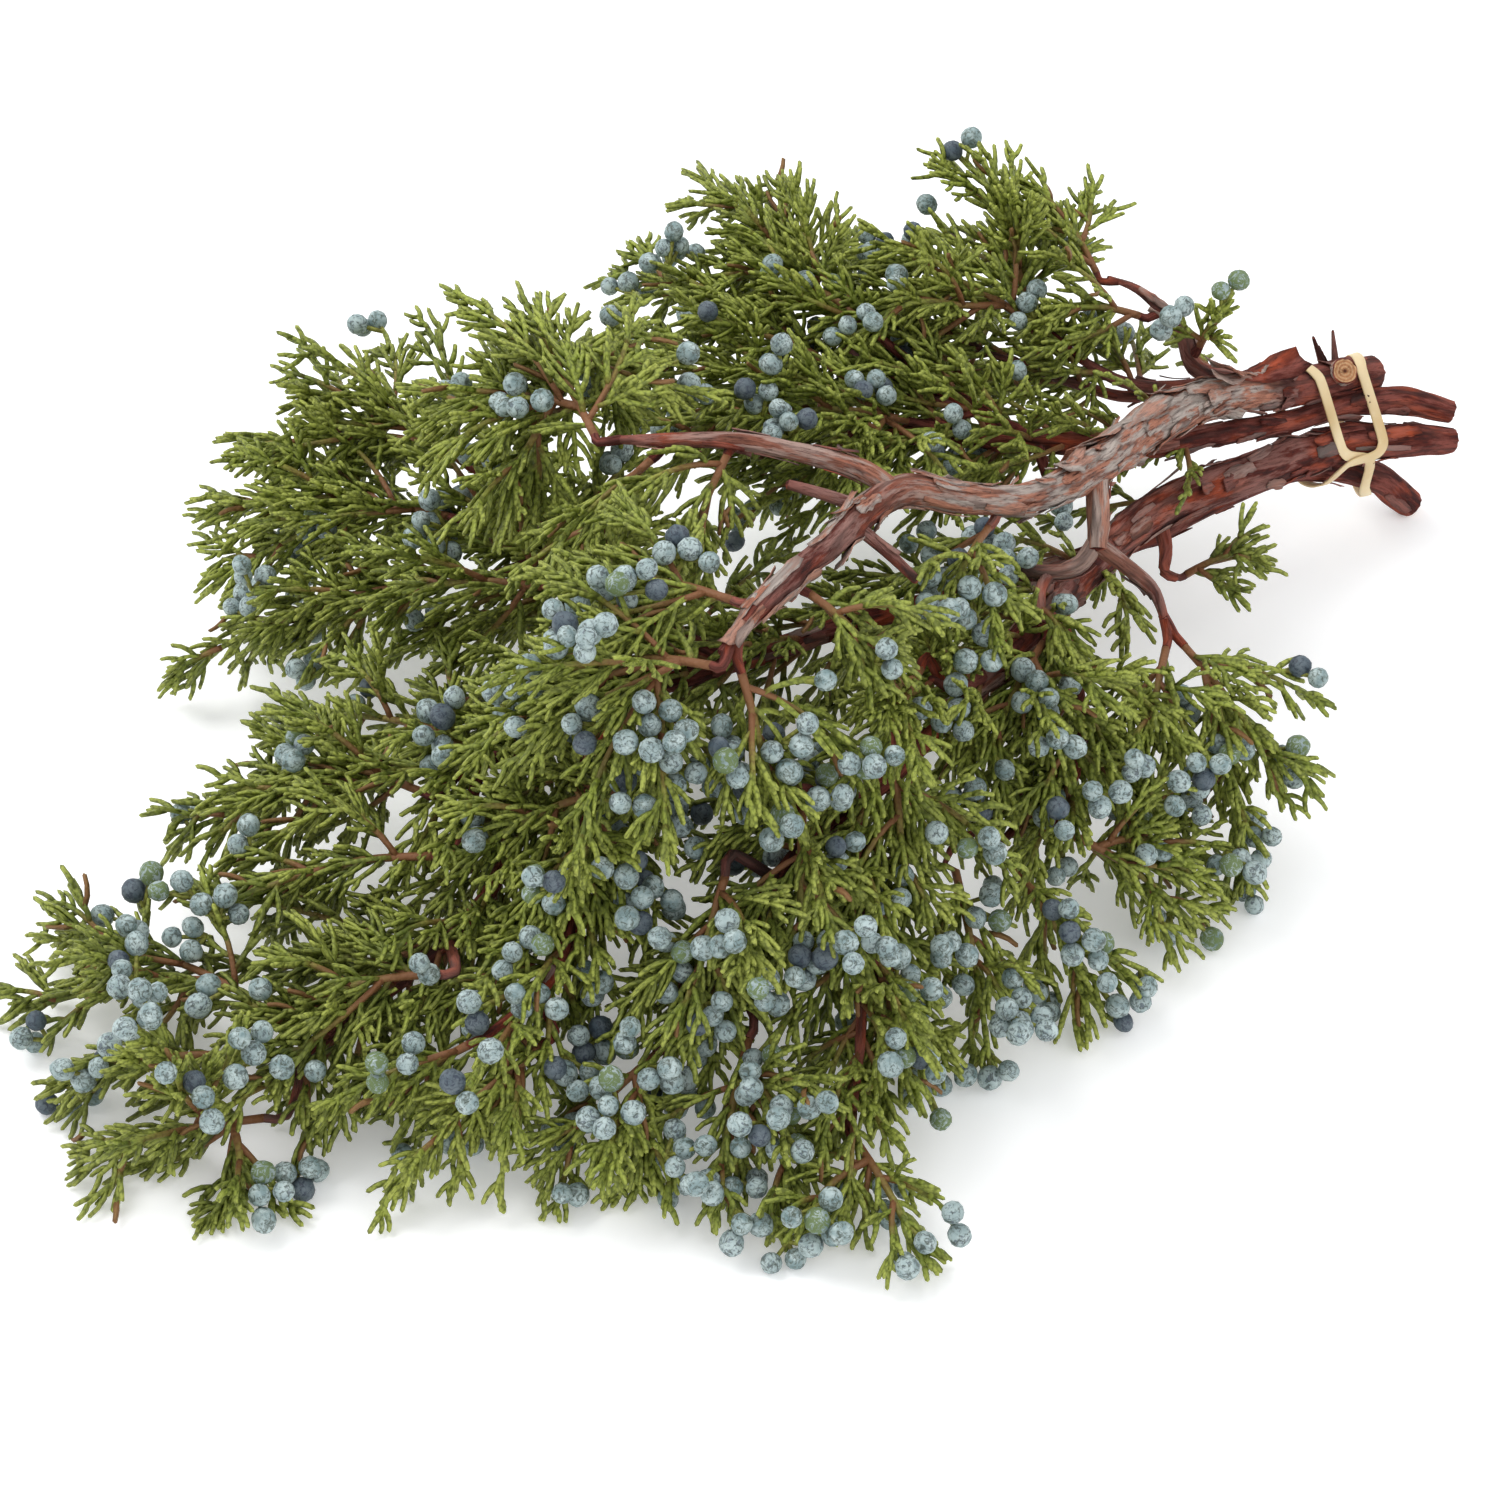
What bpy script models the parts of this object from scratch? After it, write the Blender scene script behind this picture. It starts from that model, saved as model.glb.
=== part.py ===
"""A bunch of juniper branches with berries, tied with a rubber band and lying on a flat surface."""

import math
import random

import bmesh
import bpy
import numpy as np

# Driving dimensions. Places and sizes are in millimetres and are turned into metres when a mesh is made.
MM = 0.001
BUNCH_CENTRE = (21.0, 35.0, 0.0)
CLEARANCE = 0.35
FLOOR_GAP = 0.4
BERRY_RADIUS = 4.0
TWIG_RADIUS = 1.15
CORE_ROOT_RADIUS = 1.3
CORE_TIP_RADIUS = 1.1
TWIG_SPACING = 19.0
TWIG_TURNS = (0.3, 2.84, 1.57, -0.6, 3.6, -1.3)
CORE_SIDES = 4
CORE_SPANS = 3
FORK_DEPTH = 3.0
LONG_TWIG = 33.0
TIP_TWIG_LENGTH = 17.0
FIRST_TWIG_SHARE = 0.2
TWIG_RANGE_SHARE = 0.74
SIDE_AXIS_CLEAR_SHARE = 0.3
TWIG_LEAN = (42, 58)
TWIG_SHORTENINGS = (1.0, 0.75, 0.55)
TWIG_DODGES = (0.0, 0.5, -0.5, 1.0, -1.0, 1.6, -1.6)
BERRY_STALK_REACH = (3.0, 8.0)
BERRY_STALK_SCALES = (1.0, 1.25, 0.85)
BERRY_DODGES = (0.0, 0.5, -0.5, 1.0, -1.0, 1.6, -1.6, 2.6)
WOOD_TWIG_RADIUS = 2.0
WOOD_TWIG_RUN = 22.0
CLEARED_TWIG_RADIUS = 1.6
CLEARED_GAP = 1.2
AXIS_ARCH = 0.16
PATH_SPANS = 12
TWIG_LEAVING_SHARE = 0.7
TWIG_BEND_SHARE = 0.35
TWIG_TO_WOOD_RADIUS = 0.8
CORE_WAIST = 0.9
CORE_FLOOR_GAP = 0.5
RELAX_ROUNDS = 70
TWIG_FORWARD_SHARE = 0.45
TURN_SCATTER = 0.35
LEAN_FADE = 0.3
TWIG_SIZE_AT_ROOT = 1.12
TWIG_SIZE_FADE = 0.45
TWIG_SIZE_SCATTER = (0.85, 1.1)
BERRY_TURN = (1.4, 2.2)
BERRY_EXTRA_LEAN = 0.3
TIP_TWIG_LEAN = 0.1
TIP_TWIG_OVERLAP = 3
TWIG_UP = (0.3, 0.2, 0.93)
FIRST_TUBE_TURN = 0.21
NEXT_TUBE_TURN = 0.4
NEXT_TWIG_TURN = 0.37
SQUARE_END_RUN = 8.0
SQUARE_END_SHARE = 0.4
CORE_THINNING = (0.85, 0.8)
BERRY_SHARE = 0.42
BERRY_SLOT = 1
INSIDE_SHARE = 0.7946545
INNER_PULL = 0.02
TIP_PULL = 0.2
SEED = 1811

# Rubber band
BAND_WIDTH = 4.4
BAND_THICKNESS = 0.9
BAND_PLACE = 286.0
BAND_SPREAD = 16.0
BAND_STEPS = 44
BAND_CROSSING_ANGLE = math.radians(187)
BAND_LIFT = 1.25
BAND_SWING_POWER = 0.4
BAND_TRIED_WIDTHS = (-0.7, 0.0, 0.7)
BAND_LIFT_REACH = 0.55
BOUND_PATHS = ("upper_main", "middle_main", "lower_main", "short_main", "back_main")

# Each stem is a tree of paths, and each point on a path is (x, y, z, radius).
STEMS = {
    "upper_stem": {
        "upper_main": [
            (310, 88, 60, 6.2), (289, 85, 66, 7.0), (262, 80, 73, 7.0), (233, 72, 86, 7.0),
            (203, 61, 97, 7.0), (168, 43, 108, 7.2), (136, 22, 118, 6.5), (107, 6, 128, 5.5),
            (82, -3, 138, 5.0), (60, -5, 148, 5.0), (40, -3, 157, 5.4), (21, -11, 161, 5.0),
            (-2, -25, 164, 4.5), (-24, -37, 166, 4.0), (-41, -46, 166, 3.4), (-58, -54, 161, 2.4),
        ],
        "cut_stub": [(289, 86, 66, 4.7), (287, 77, 75, 5.0)],
        "spur_left": [(286, 87, 68, 1.8), (282, 92, 83, 0.6)],
        "spur_right": [(291, 87, 68, 1.8), (292, 93, 82, 0.6)],
        "arch": [
            (36, -5, 158, 4.0), (28, 3, 165, 3.6), (15, 12, 170, 3.3), (-5, 30, 172, 2.9),
            (-24, 51, 166, 2.5), (-36, 66, 161, 2.0),
        ],
        "dead_twig": [(21, -11, 161, 2.6), (10, -2, 165, 2.1), (0, 6, 168, 1.6)],
        "short_twig": [(12, -17, 162, 2.4), (18, -27, 156, 2.0), (25, -36, 147, 1.6)],
        "two_way": [(134, 21, 118, 4.2), (126, 7, 114, 3.9), (118, -6, 105, 3.6)],
        "two_way_left": [(120, -3, 107, 3.4), (110, -5, 100, 3.0), (99, 1, 98, 2.6), (93, 12, 97, 1.9)],
        "two_way_down": [(103, -1, 98, 2.3), (95, -6, 96, 2.1), (88, -18, 92, 1.8)],
        "two_way_right": [(119, -4, 106, 3.2), (127, -15, 99, 2.8), (134, -20, 90, 2.6), (136, -27, 77, 2.1)],
    },
    "middle_stem": {
        "middle_main": [
            (335, 68, 45, 4.4), (318, 76, 51, 5.4), (300, 77, 56, 5.0), (285, 76.5, 59.4, 4.2),
            (262, 74, 62, 4.2), (239, 71, 68, 4.2), (214, 68, 75, 4.2), (193, 65, 80, 4.5),
            (170, 72, 84, 4.5), (147, 81, 88, 4.4), (128, 82, 94, 3.6), (113, 94, 99, 2.4),
        ],
        "middle_top": [(150, 80, 87, 3.6), (137, 89, 94, 3.0), (126, 103, 101, 2.6), (117, 113, 104, 2.0)],
        "middle_twig": [(148, 80, 88, 2.4), (145, 70, 84, 2.0), (143, 62, 80, 1.6)],
    },
    "lower_stem": {
        "lower_main": [
            (331, 60, 38, 4.4), (309, 65, 42, 6.4), (281, 69, 47, 7.0), (262, 65, 51, 7.2),
            (242, 60, 56, 7.4), (206, 52, 63, 7.5), (174, 43, 68, 7.0), (138, 24, 72, 6.4),
            (104, 0, 80, 5.4), (70, -21, 85, 4.4), (38, -38, 85, 3.2),
        ],
        "lower_end": [(60, -26, 86, 3.2), (42, -37, 95, 2.6), (29, -41, 107, 2.0)],
        "front_main": [
            (40, -37, 85, 3.2), (5, -54, 82, 2.8), (-30, -62, 76, 2.6), (-60, -75, 64, 2.4),
            (-88, -86, 48, 1.8),
        ],
        "front_tip": [(-8, -57, 80, 2.6), (-25, -85, 65, 2.1), (-40, -115, 44, 1.8), (-55, -137, 27, 1.4)],
        "right_low": [(106, 1, 80, 3.6), (99, -25, 66, 2.8), (86, -50, 56, 2.4), (66, -64, 51, 1.8)],
        "dark_side": [(180, 46, 67, 3.4), (180, 38, 55, 2.6), (179, 36, 45, 2.0), (183, 34, 42, 1.5)],
    },
    "short_stem": {
        "short_main": [
            (322, 70, 3.6, 5.4), (313, 71, 13, 5.8), (304, 72, 22, 5.8), (283, 74, 33, 5.4),
            (260, 74, 39, 5.0), (225, 70, 40, 4.8), (190, 64, 40, 4.5), (150, 60, 43, 4.3),
            (100, 58, 48, 4.1), (50, 58, 52, 3.9), (0, 55, 56, 3.7), (-50, 52, 61, 3.3),
        ],
        "left_long": [(4, 56, 56, 3.4), (-18, 92, 66, 3.0), (-35, 130, 74, 2.6), (-45, 158, 79, 2.0)],
        "mid_left": [(-46, 52, 61, 3.2), (-80, 40, 66, 2.9), (-108, 29, 73, 2.5), (-124, 23, 75, 2.0)],
        "low_left": [
            (-74, 42, 65, 3.0), (-100, 12, 56, 2.8), (-130, -12, 48, 2.6), (-165, -22, 38, 2.3),
            (-195, -26, 29, 2.0), (-210, -31, 22, 1.6),
        ],
        "front_left": [
            (-40, 54, 60, 3.1), (-68, 24, 64, 2.7), (-88, -10, 72, 2.4), (-105, -40, 66, 2.2),
            (-125, -60, 56, 2.0), (-145, -68, 50, 1.6),
        ],
    },
    "back_stem": {
        "back_main": [
            (304, 99, 49, 4.0), (292, 93, 54, 4.2), (262, 92, 65, 4.2), (240, 88, 80, 3.9),
            (223, 87, 92, 3.3), (220, 92, 104, 2.8), (216, 99, 112, 2.4), (210, 110, 118, 2.0),
            (203, 119, 120, 1.6),
        ],
        "back_left": [
            (242, 89, 78, 3.0), (215, 93, 82, 2.4), (197, 97, 88, 2.2), (187, 107, 94, 2.0),
            (180, 120, 98, 1.7),
        ],
        "back_low": [
            (226, 91, 80, 2.6), (203, 99, 78, 2.2), (184, 107, 85, 2.0), (171, 115, 91, 1.8),
            (161, 127, 95, 1.5),
        ],
    },
}

# Each spray is (name, path it grows from, start, tips of its axes, reach of its twigs, berries, core radius).
SPRAYS = [
    ("spray_back_1", "back_main", (200, 123, 121), [(198, 152, 136)], 24, 0, 2.0),
    ("spray_back_2", "back_main", (206, 102, 112), [(178, 112, 118)], 27, 0, 3.0),
    ("spray_back_3", "back_main", (222, 84, 104), [(223, 74, 122)], 12, 2, 2.5),
    ("spray_back_4", "back_left", (176, 128, 104), [(174, 168, 150), (190, 168, 122)], 32, 6, 6.0),
    ("spray_back_5", "back_left", (168, 120, 112), [(125, 160, 130), (105, 135, 120)], 32, 8, 6.5),
    ("spray_back_6", "back_low", (152, 134, 98), [(130, 172, 98), (112, 148, 88)], 32, 3, 7.0),
    ("spray_hidden_1", "back_low", (160, 132, 84), [(135, 175, 50), (165, 165, 60)], 29, 3, 7.0),
    ("spray_top_1", "middle_top", (104, 146, 108), [(98, 240, 126), (112, 222, 115)], 32, 0, 3.0),
    ("spray_top_2", "middle_top", (112, 132, 114), [(82, 208, 114)], 32, 3, 7.0),
    ("spray_top_3", "middle_top", (98, 130, 101), [(55, 240, 100)], 32, 8, 7.0),
    ("spray_top_4", "middle_top", (88, 116, 92), [(42, 205, 88), (18, 152, 84)], 32, 7, 7.0),
    ("spray_top_5", "middle_main", (104, 100, 100), [(50, 115, 110), (68, 82, 102)], 32, 9, 6.5),
    ("spray_hidden_2", "middle_main", (100, 112, 84), [(62, 172, 42), (92, 165, 45)], 29, 4, 7.0),
    (
        "spray_arch_1", "arch", (-39, 70, 161),
        [(-20, 172, 136), (-55, 165, 118), (-68, 100, 122), (14, 140, 130)], 34, 6, 6.5,
    ),
    ("spray_arch_2", "arch", (-10, 30, 168), [(-34, 16, 140)], 32, 0, 3.0),
    ("spray_arch_3", "arch", (-28, 50, 160), [(-60, 50, 130)], 34, 0, 6.0),
    ("spray_upper_1", "upper_main", (-45, -38, 166), [(-72, 20, 142)], 32, 2, 6.0),
    (
        "spray_upper_2", "upper_main", (-62, -55, 158),
        [(-92, 0, 125), (-118, 12, 96), (-85, -55, 116)], 33, 24, 7.0,
    ),
    ("spray_upper_3", "upper_main", (-52, -56, 152), [(-50, -72, 110)], 32, 9, 7.0),
    ("spray_upper_4", "upper_main", (-18, -40, 160), [(-5, -62, 143)], 24, 1, 4.5),
    ("spray_upper_5", "upper_main", (68, -12, 137), [(40, -32, 130)], 27, 5, 4.5),
    ("spray_left_1", "left_long", (-42, 170, 86), [(-68, 262, 72), (-95, 252, 60)], 32, 4, 6.5),
    ("spray_left_2", "left_long", (-56, 158, 76), [(-118, 240, 46), (-126, 222, 30)], 32, 9, 6.5),
    ("spray_left_3", "left_long", (-62, 135, 64), [(-122, 170, 35), (-155, 195, 15)], 27, 7, 6.5),
    ("spray_left_4", "left_long", (-52, 90, 88), [(-98, 130, 72), (-10, 112, 106)], 32, 2, 7.0),
    (
        "spray_hidden_3", "left_long", (-30, 138, 58),
        [(-10, 190, 34), (-50, 205, 40), (14, 140, 36)], 29, 5, 7.0,
    ),
    ("spray_midleft_1", "mid_left", (-130, 24, 74), [(-162, 95, 45), (-192, 98, 25)], 32, 3, 6.5),
    ("spray_midleft_2", "mid_left", (-98, 55, 60), [(-138, 122, 38), (-76, 112, 34)], 29, 1, 7.0),
    ("spray_midleft_3", "mid_left", (-138, 2, 66), [(-192, 45, 35)], 32, 1, 7.0),
    ("spray_lowleft_1", "low_left", (-205, 2, 31), [(-250, 85, 12), (-272, 60, 7)], 27, 9, 5.5),
    ("spray_lowleft_2", "low_left", (-216, -14, 24), [(-270, 15, 11)], 27, 8, 6.0),
    (
        "spray_lowleft_3", "low_left", (-220, -36, 16),
        [(-282, -20, 6), (-240, -57, 6), (-250, -26, 48)], 24, 7, 3.0,
    ),
    ("spray_lowleft_4", "low_left", (-158, -38, 54), [(-200, -14, 36)], 32, 1, 6.5),
    ("spray_lowleft_5", "front_left", (-158, -66, 46), [(-178, -52, 18)], 27, 3, 6.5),
    ("spray_front_1", "front_left", (-84, -30, 97), [(-132, -12, 74), (-112, -52, 78)], 32, 15, 7.0),
    ("spray_front_2", "front_left", (-112, -52, 58), [(-150, -40, 42)], 29, 8, 7.0),
    ("spray_front_3", "front_left", (-136, -74, 42), [(-165, -82, 24), (-202, -84, 6)], 18, 6, 5.5),
    ("spray_front_4", "front_main", (-104, -92, 38), [(-150, -102, 12), (-124, -116, 10)], 27, 10, 6.5),
    ("spray_front_5", "front_main", (-76, -104, 42), [(-106, -136, 12), (-84, -148, 10)], 27, 14, 6.5),
    ("spray_front_6", "front_tip", (-58, -144, 21), [(-60, -192, 7), (-94, -160, 8)], 18, 7, 3.5),
    ("spray_front_7", "front_main", (-68, -74, 86), [(-92, -96, 60)], 32, 9, 7.0),
    ("spray_front_8", "front_main", (-36, -68, 96), [(-56, -102, 64)], 32, 9, 7.0),
    ("spray_front_9", "front_main", (2, -62, 98), [(-10, -92, 62)], 32, 9, 7.0),
    ("spray_front_10", "front_tip", (-30, -108, 56), [(-44, -132, 22)], 27, 6, 6.5),
    ("spray_front_11", "front_tip", (-18, -84, 52), [(-18, -118, 22)], 27, 6, 6.5),
    ("spray_right_1", "lower_end", (24, -42, 114), [(-12, -72, 100)], 32, 7, 6.5),
    ("spray_right_2", "two_way_down", (85, -24, 89), [(40, -58, 76), (66, -74, 66)], 32, 12, 6.5),
    ("spray_right_3", "two_way_right", (132, -32, 74), [(96, -72, 56)], 32, 6, 7.0),
    ("spray_right_4", "two_way_right", (140, -32, 72), [(150, -86, 36), (130, -96, 10)], 27, 6, 4.5),
    ("spray_right_5", "right_low", (68, -74, 46), [(102, -104, 12), (110, -84, 28)], 27, 10, 6.0),
    ("spray_right_6", "right_low", (42, -76, 44), [(52, -118, 10)], 27, 7, 6.0),
    ("spray_right_7", "right_low", (22, -72, 48), [(6, -122, 12)], 27, 7, 6.0),
    ("spray_right_8", "dark_side", (187, 33, 43), [(208, 22, 54)], 18, 0, 1.3),
]

# Places where a spray lies on the floor on one berry, as (spray, number of the axis, share of its length).
RESTING_BERRIES = [
    ("spray_lowleft_1", 0, 0.8),
    ("spray_lowleft_3", 1, 0.7),
    ("spray_left_3", 1, 0.85),
    ("spray_front_3", 1, 0.75),
    ("spray_front_6", 0, 0.75),
    ("spray_right_5", 0, 0.85),
]

BARK = (0.33, 0.19, 0.13, 1.0)
BARK_RED = (0.27, 0.08, 0.05, 1.0)
LEAF = (0.16, 0.22, 0.045, 1.0)
BERRY = (0.25, 0.38, 0.42, 1.0)
BAND = (0.78, 0.64, 0.40, 1.0)

WOOD_SIDES = ((5.0, 6), (2.5, 5), (0.0, 4))


def material(name, colour, roughness):
    made = bpy.data.materials.new(name)
    made.use_nodes = True
    shader = made.node_tree.nodes["Principled BSDF"]
    shader.inputs["Base Color"].default_value = colour
    shader.inputs["Roughness"].default_value = roughness
    return made


def unit(v):
    return v / max(float(np.linalg.norm(v)), 1e-9)


def frame_for(direction, up):
    """Two directions square to the given one, the second as near to up as it can be."""
    side = np.cross(direction, up)
    if np.linalg.norm(side) < 1e-3:
        side = np.cross(direction, np.array([1.0, 0.0, 0.0]))
    side = unit(side)
    return side, np.cross(side, direction)


def bezier(start, middle, end, spans):
    t = np.linspace(0.0, 1.0, spans + 1)[:, None]
    return (1 - t) ** 2 * start + 2 * t * (1 - t) * middle + t**2 * end


# Clearance between segments of different nodes


def closest(p, q, others_p, others_q):
    """Closest points between the segment p-q and every other segment, all arrays broadcast."""
    d1, d2, r = q - p, others_q - others_p, p - others_p
    a = np.maximum((d1 * d1).sum(-1), 1e-9)
    e = np.maximum((d2 * d2).sum(-1), 1e-9)
    b, c, f = (d1 * d2).sum(-1), (d1 * r).sum(-1), (d2 * r).sum(-1)
    spread = a * e - b * b
    s = np.where(spread > 1e-9, np.clip((b * f - c * e) / np.maximum(spread, 1e-9), 0, 1), 0.0)
    t = np.clip((b * s + f) / e, 0, 1)
    s = np.clip((b * t - c) / a, 0, 1)
    return s, t, p + s[..., None] * d1, others_p + t[..., None] * d2


class Space:
    """What is already placed: segments with a radius, each with the name of what it belongs to."""

    def __init__(self):
        self.p, self.q, self.r, self.owner = [], [], [], []
        self.arrays = None

    def add(self, p, q, radius, owner):
        self.p.append(np.array(p, float))
        self.q.append(np.array(q, float))
        self.r.append(radius)
        self.owner.append(owner)
        self.arrays = None

    def free(self, p, q, radius, own):
        """True where a segment is clear of the floor and of all but what is named in own."""
        if min(p[2], q[2]) < radius + FLOOR_GAP:
            return False
        if self.arrays is None:
            self.arrays = (np.array(self.p), np.array(self.q), np.array(self.r), np.array(self.owner))
        ps, qs, rs, owners = self.arrays
        _, _, c1, c2 = closest(p, q, ps, qs)
        gap = np.linalg.norm(c1 - c2, axis=1) - rs - radius
        return bool((gap[~np.isin(owners, own)] > CLEARANCE).all())


# Layout: the wood twig and the cores of each spray, moved apart until they are clear


def path_points(name):
    for paths in STEMS.values():
        if name in paths:
            return np.array(paths[name], float)
    raise KeyError(name)


def stem_of(name):
    for stem, paths in STEMS.items():
        if name in paths:
            return stem
    raise KeyError(name)


def leaving_point(path, start):
    """Where on a path the twig to a spray leaves it: a little nearer the cut end than the closest place."""
    spans = [np.linspace(a, b, PATH_SPANS, endpoint=False) for a, b in zip(path, path[1:])]
    dense = np.concatenate([*spans, path[-1:]])
    away = np.linalg.norm(dense[:, :3] - start, axis=1)
    nearest = int(away.argmin())
    reach = min(away[nearest] * TWIG_LEAVING_SHARE, WOOD_TWIG_RUN)
    step = nearest
    while step > 0 and np.linalg.norm(dense[step, :3] - dense[nearest, :3]) < reach:
        step -= 1
    return dense[step], unit(dense[min(step + 2, len(dense) - 1), :3] - dense[max(step - 2, 0), :3])


def lay_out():
    """The polylines of every spray before they are moved: one wood twig and one core for each tip."""
    sprays = []
    for name, path, start, tips, reach, berries, core in SPRAYS:
        start = np.array(start, float)
        point, forward = leaving_point(path_points(path), start)
        bend = point[:3] + forward * TWIG_BEND_SHARE * np.linalg.norm(start - point[:3])
        twig = bezier(point[:3], bend, start, 3)
        axes = []
        for tip in tips:
            tip = np.array(tip, float)
            length = float(np.linalg.norm(tip - start))
            middle = (start + tip) / 2 + np.array([0.0, 0.0, AXIS_ARCH * length])
            axes.append(bezier(start, middle, tip, CORE_SPANS))
        sprays.append(
            {
                "name": name, "stem": stem_of(path), "twig": twig, "axes": axes,
                "twig_radius": min(point[3] * TWIG_TO_WOOD_RADIUS, WOOD_TWIG_RADIUS),
                "reach": reach, "berries": berries, "core": core,
            }
        )
    return sprays


def core_radii(core):
    """Radius of a core at each of its points."""
    shape = np.array([CORE_ROOT_RADIUS / core, 1.0, CORE_WAIST, CORE_TIP_RADIUS / core])
    return np.minimum(shape, 1.0) * core


def relax(sprays):
    """Moves cores and wood twigs apart. Stems, starts of twigs and starts of cores stay."""
    points, owner, radius, fixed, links, group, pull = [], [], [], [], [], [], []

    def add_line(line, radii, name, still, kind):
        first = len(points)
        for k, point in enumerate(line):
            points.append(np.array(point, float))
            fixed.append(still(k))
            radius.append(radii[k])
            pull.append(TIP_PULL if k == len(line) - 1 else INNER_PULL)
        for k in range(len(line) - 1):
            links.append((first + k, first + k + 1))
            owner.append(name)
            group.append(kind)
        return first

    for stem, paths in STEMS.items():
        for path in paths.values():
            add_line([p[:3] for p in path], [p[3] for p in path], stem, lambda k: True, -1)
    places = []
    for number, spray in enumerate(sprays):
        wood = [CLEARED_TWIG_RADIUS] * 4
        twig_at = add_line(spray["twig"], wood, spray["stem"], lambda k: k in (0, 3), number)
        axes_at = [
            add_line(axis, core_radii(spray["core"]), spray["name"], lambda k: k == 0, number)
            for axis in spray["axes"]
        ]
        places.append((twig_at, axes_at))
    points = np.array(points)
    radius, fixed, pull = np.array(radius), np.array(fixed), np.array(pull)[:, None]
    links = np.array(links)
    names = {name: k for k, name in enumerate(dict.fromkeys(owner))}
    owner = np.array([names[name] for name in owner])
    group = np.array(group)
    i0, i1 = links[:, 0], links[:, 1]
    link_radius = np.maximum(radius[i0], radius[i1])
    moving = ~(fixed[i0] & fixed[i1])
    apart = (owner[:, None] != owner[None, :]) & ~((group[:, None] == group[None, :]) & (group[:, None] >= 0))
    apart &= moving[:, None] | moving[None, :]
    upper = np.triu(np.ones_like(apart), 1).astype(bool)
    first, second = np.nonzero(apart & upper)
    need = link_radius[first] + link_radius[second] + CLEARED_GAP
    laid = points.copy()
    for _ in range(RELAX_ROUNDS):
        s, t, c1, c2 = closest(points[i0[first]], points[i1[first]], points[i0[second]], points[i1[second]])
        line = c1 - c2
        away = np.linalg.norm(line, axis=1)
        close = away < need
        if not close.any():
            break
        line = np.where(away[:, None] > 1e-6, line / np.maximum(away, 1e-6)[:, None], (0.0, 0.0, 1.0))
        push = ((need - away) * 0.5)[:, None] * line
        move, count = np.zeros_like(points), np.zeros(len(points))
        for which, sign, share in ((first, 1.0, s), (second, -1.0, t)):
            for ends, weight in ((i0, 1 - share), (i1, share)):
                np.add.at(move, ends[which[close]], sign * push[close] * weight[close][:, None])
                np.add.at(count, ends[which[close]], weight[close])
        step = move / np.maximum(count, 1.0)[:, None] + pull * (laid - points)
        points += np.where(fixed[:, None], 0.0, step)
        low = radius + FLOOR_GAP + CORE_FLOOR_GAP
        points[:, 2] = np.where(fixed, points[:, 2], np.maximum(points[:, 2], low))
    for spray, (twig_at, axes_at) in zip(sprays, places):
        spray["twig"] = points[twig_at : twig_at + 4]
        spray["axes"] = [points[at : at + CORE_SPANS + 1] for at in axes_at]


# Growth of one spray: twigs along each axis, and berries on the twigs


def along(line, share):
    """Point and direction at a share of a polyline's length."""
    steps = np.linalg.norm(np.diff(line, axis=0), axis=1)
    ends = np.concatenate([[0.0], np.cumsum(steps)])
    at = share * ends[-1]
    k = min(int(np.searchsorted(ends, at, side="right")) - 1, len(steps) - 1)
    part = (at - ends[k]) / max(steps[k], 1e-9)
    return line[k] + part * (line[k + 1] - line[k]), unit(line[k + 1] - line[k])


def twig_line(base, direction, side, lean, length):
    """A twig that leans out from its axis and bends forward along it."""
    out = unit(math.cos(lean) * direction + math.sin(lean) * side)
    forward = lean * TWIG_FORWARD_SHARE
    ahead = unit(math.cos(forward) * direction + math.sin(forward) * side)
    if length < LONG_TWIG:
        return [base, base + unit(out + 0.5 * ahead) * length]
    elbow = base + out * length * 0.5
    return [base, elbow, elbow + ahead * length * 0.5]


def turned_about(direction, side, turn):
    return math.cos(turn) * side + math.sin(turn) * np.cross(direction, side)


def clear_twig(space, own, base, direction, side, lean, length):
    """Bends or shortens a twig until it is clear of what is not its own. None where nothing fits."""
    for shorter in TWIG_SHORTENINGS:
        for turn in TWIG_DODGES:
            line = twig_line(base, direction, turned_about(direction, side, turn), lean, length * shorter)
            if all(space.free(p, q, TWIG_RADIUS, own) for p, q in zip(line, line[1:])):
                return line
    return None


def clear_berry(space, core, own, base, direction, side, lean, length):
    """A short twig with room for a berry on its end."""
    for longer in BERRY_STALK_SCALES:
        for turn in BERRY_DODGES:
            outward = math.cos(lean) * direction + math.sin(lean) * turned_about(direction, side, turn)
            end = base + outward * length * longer
            if space.free(base, end, TWIG_RADIUS, own) and space.free(end, end, BERRY_RADIUS, [core]):
                return [base, end]
    return None


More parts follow.
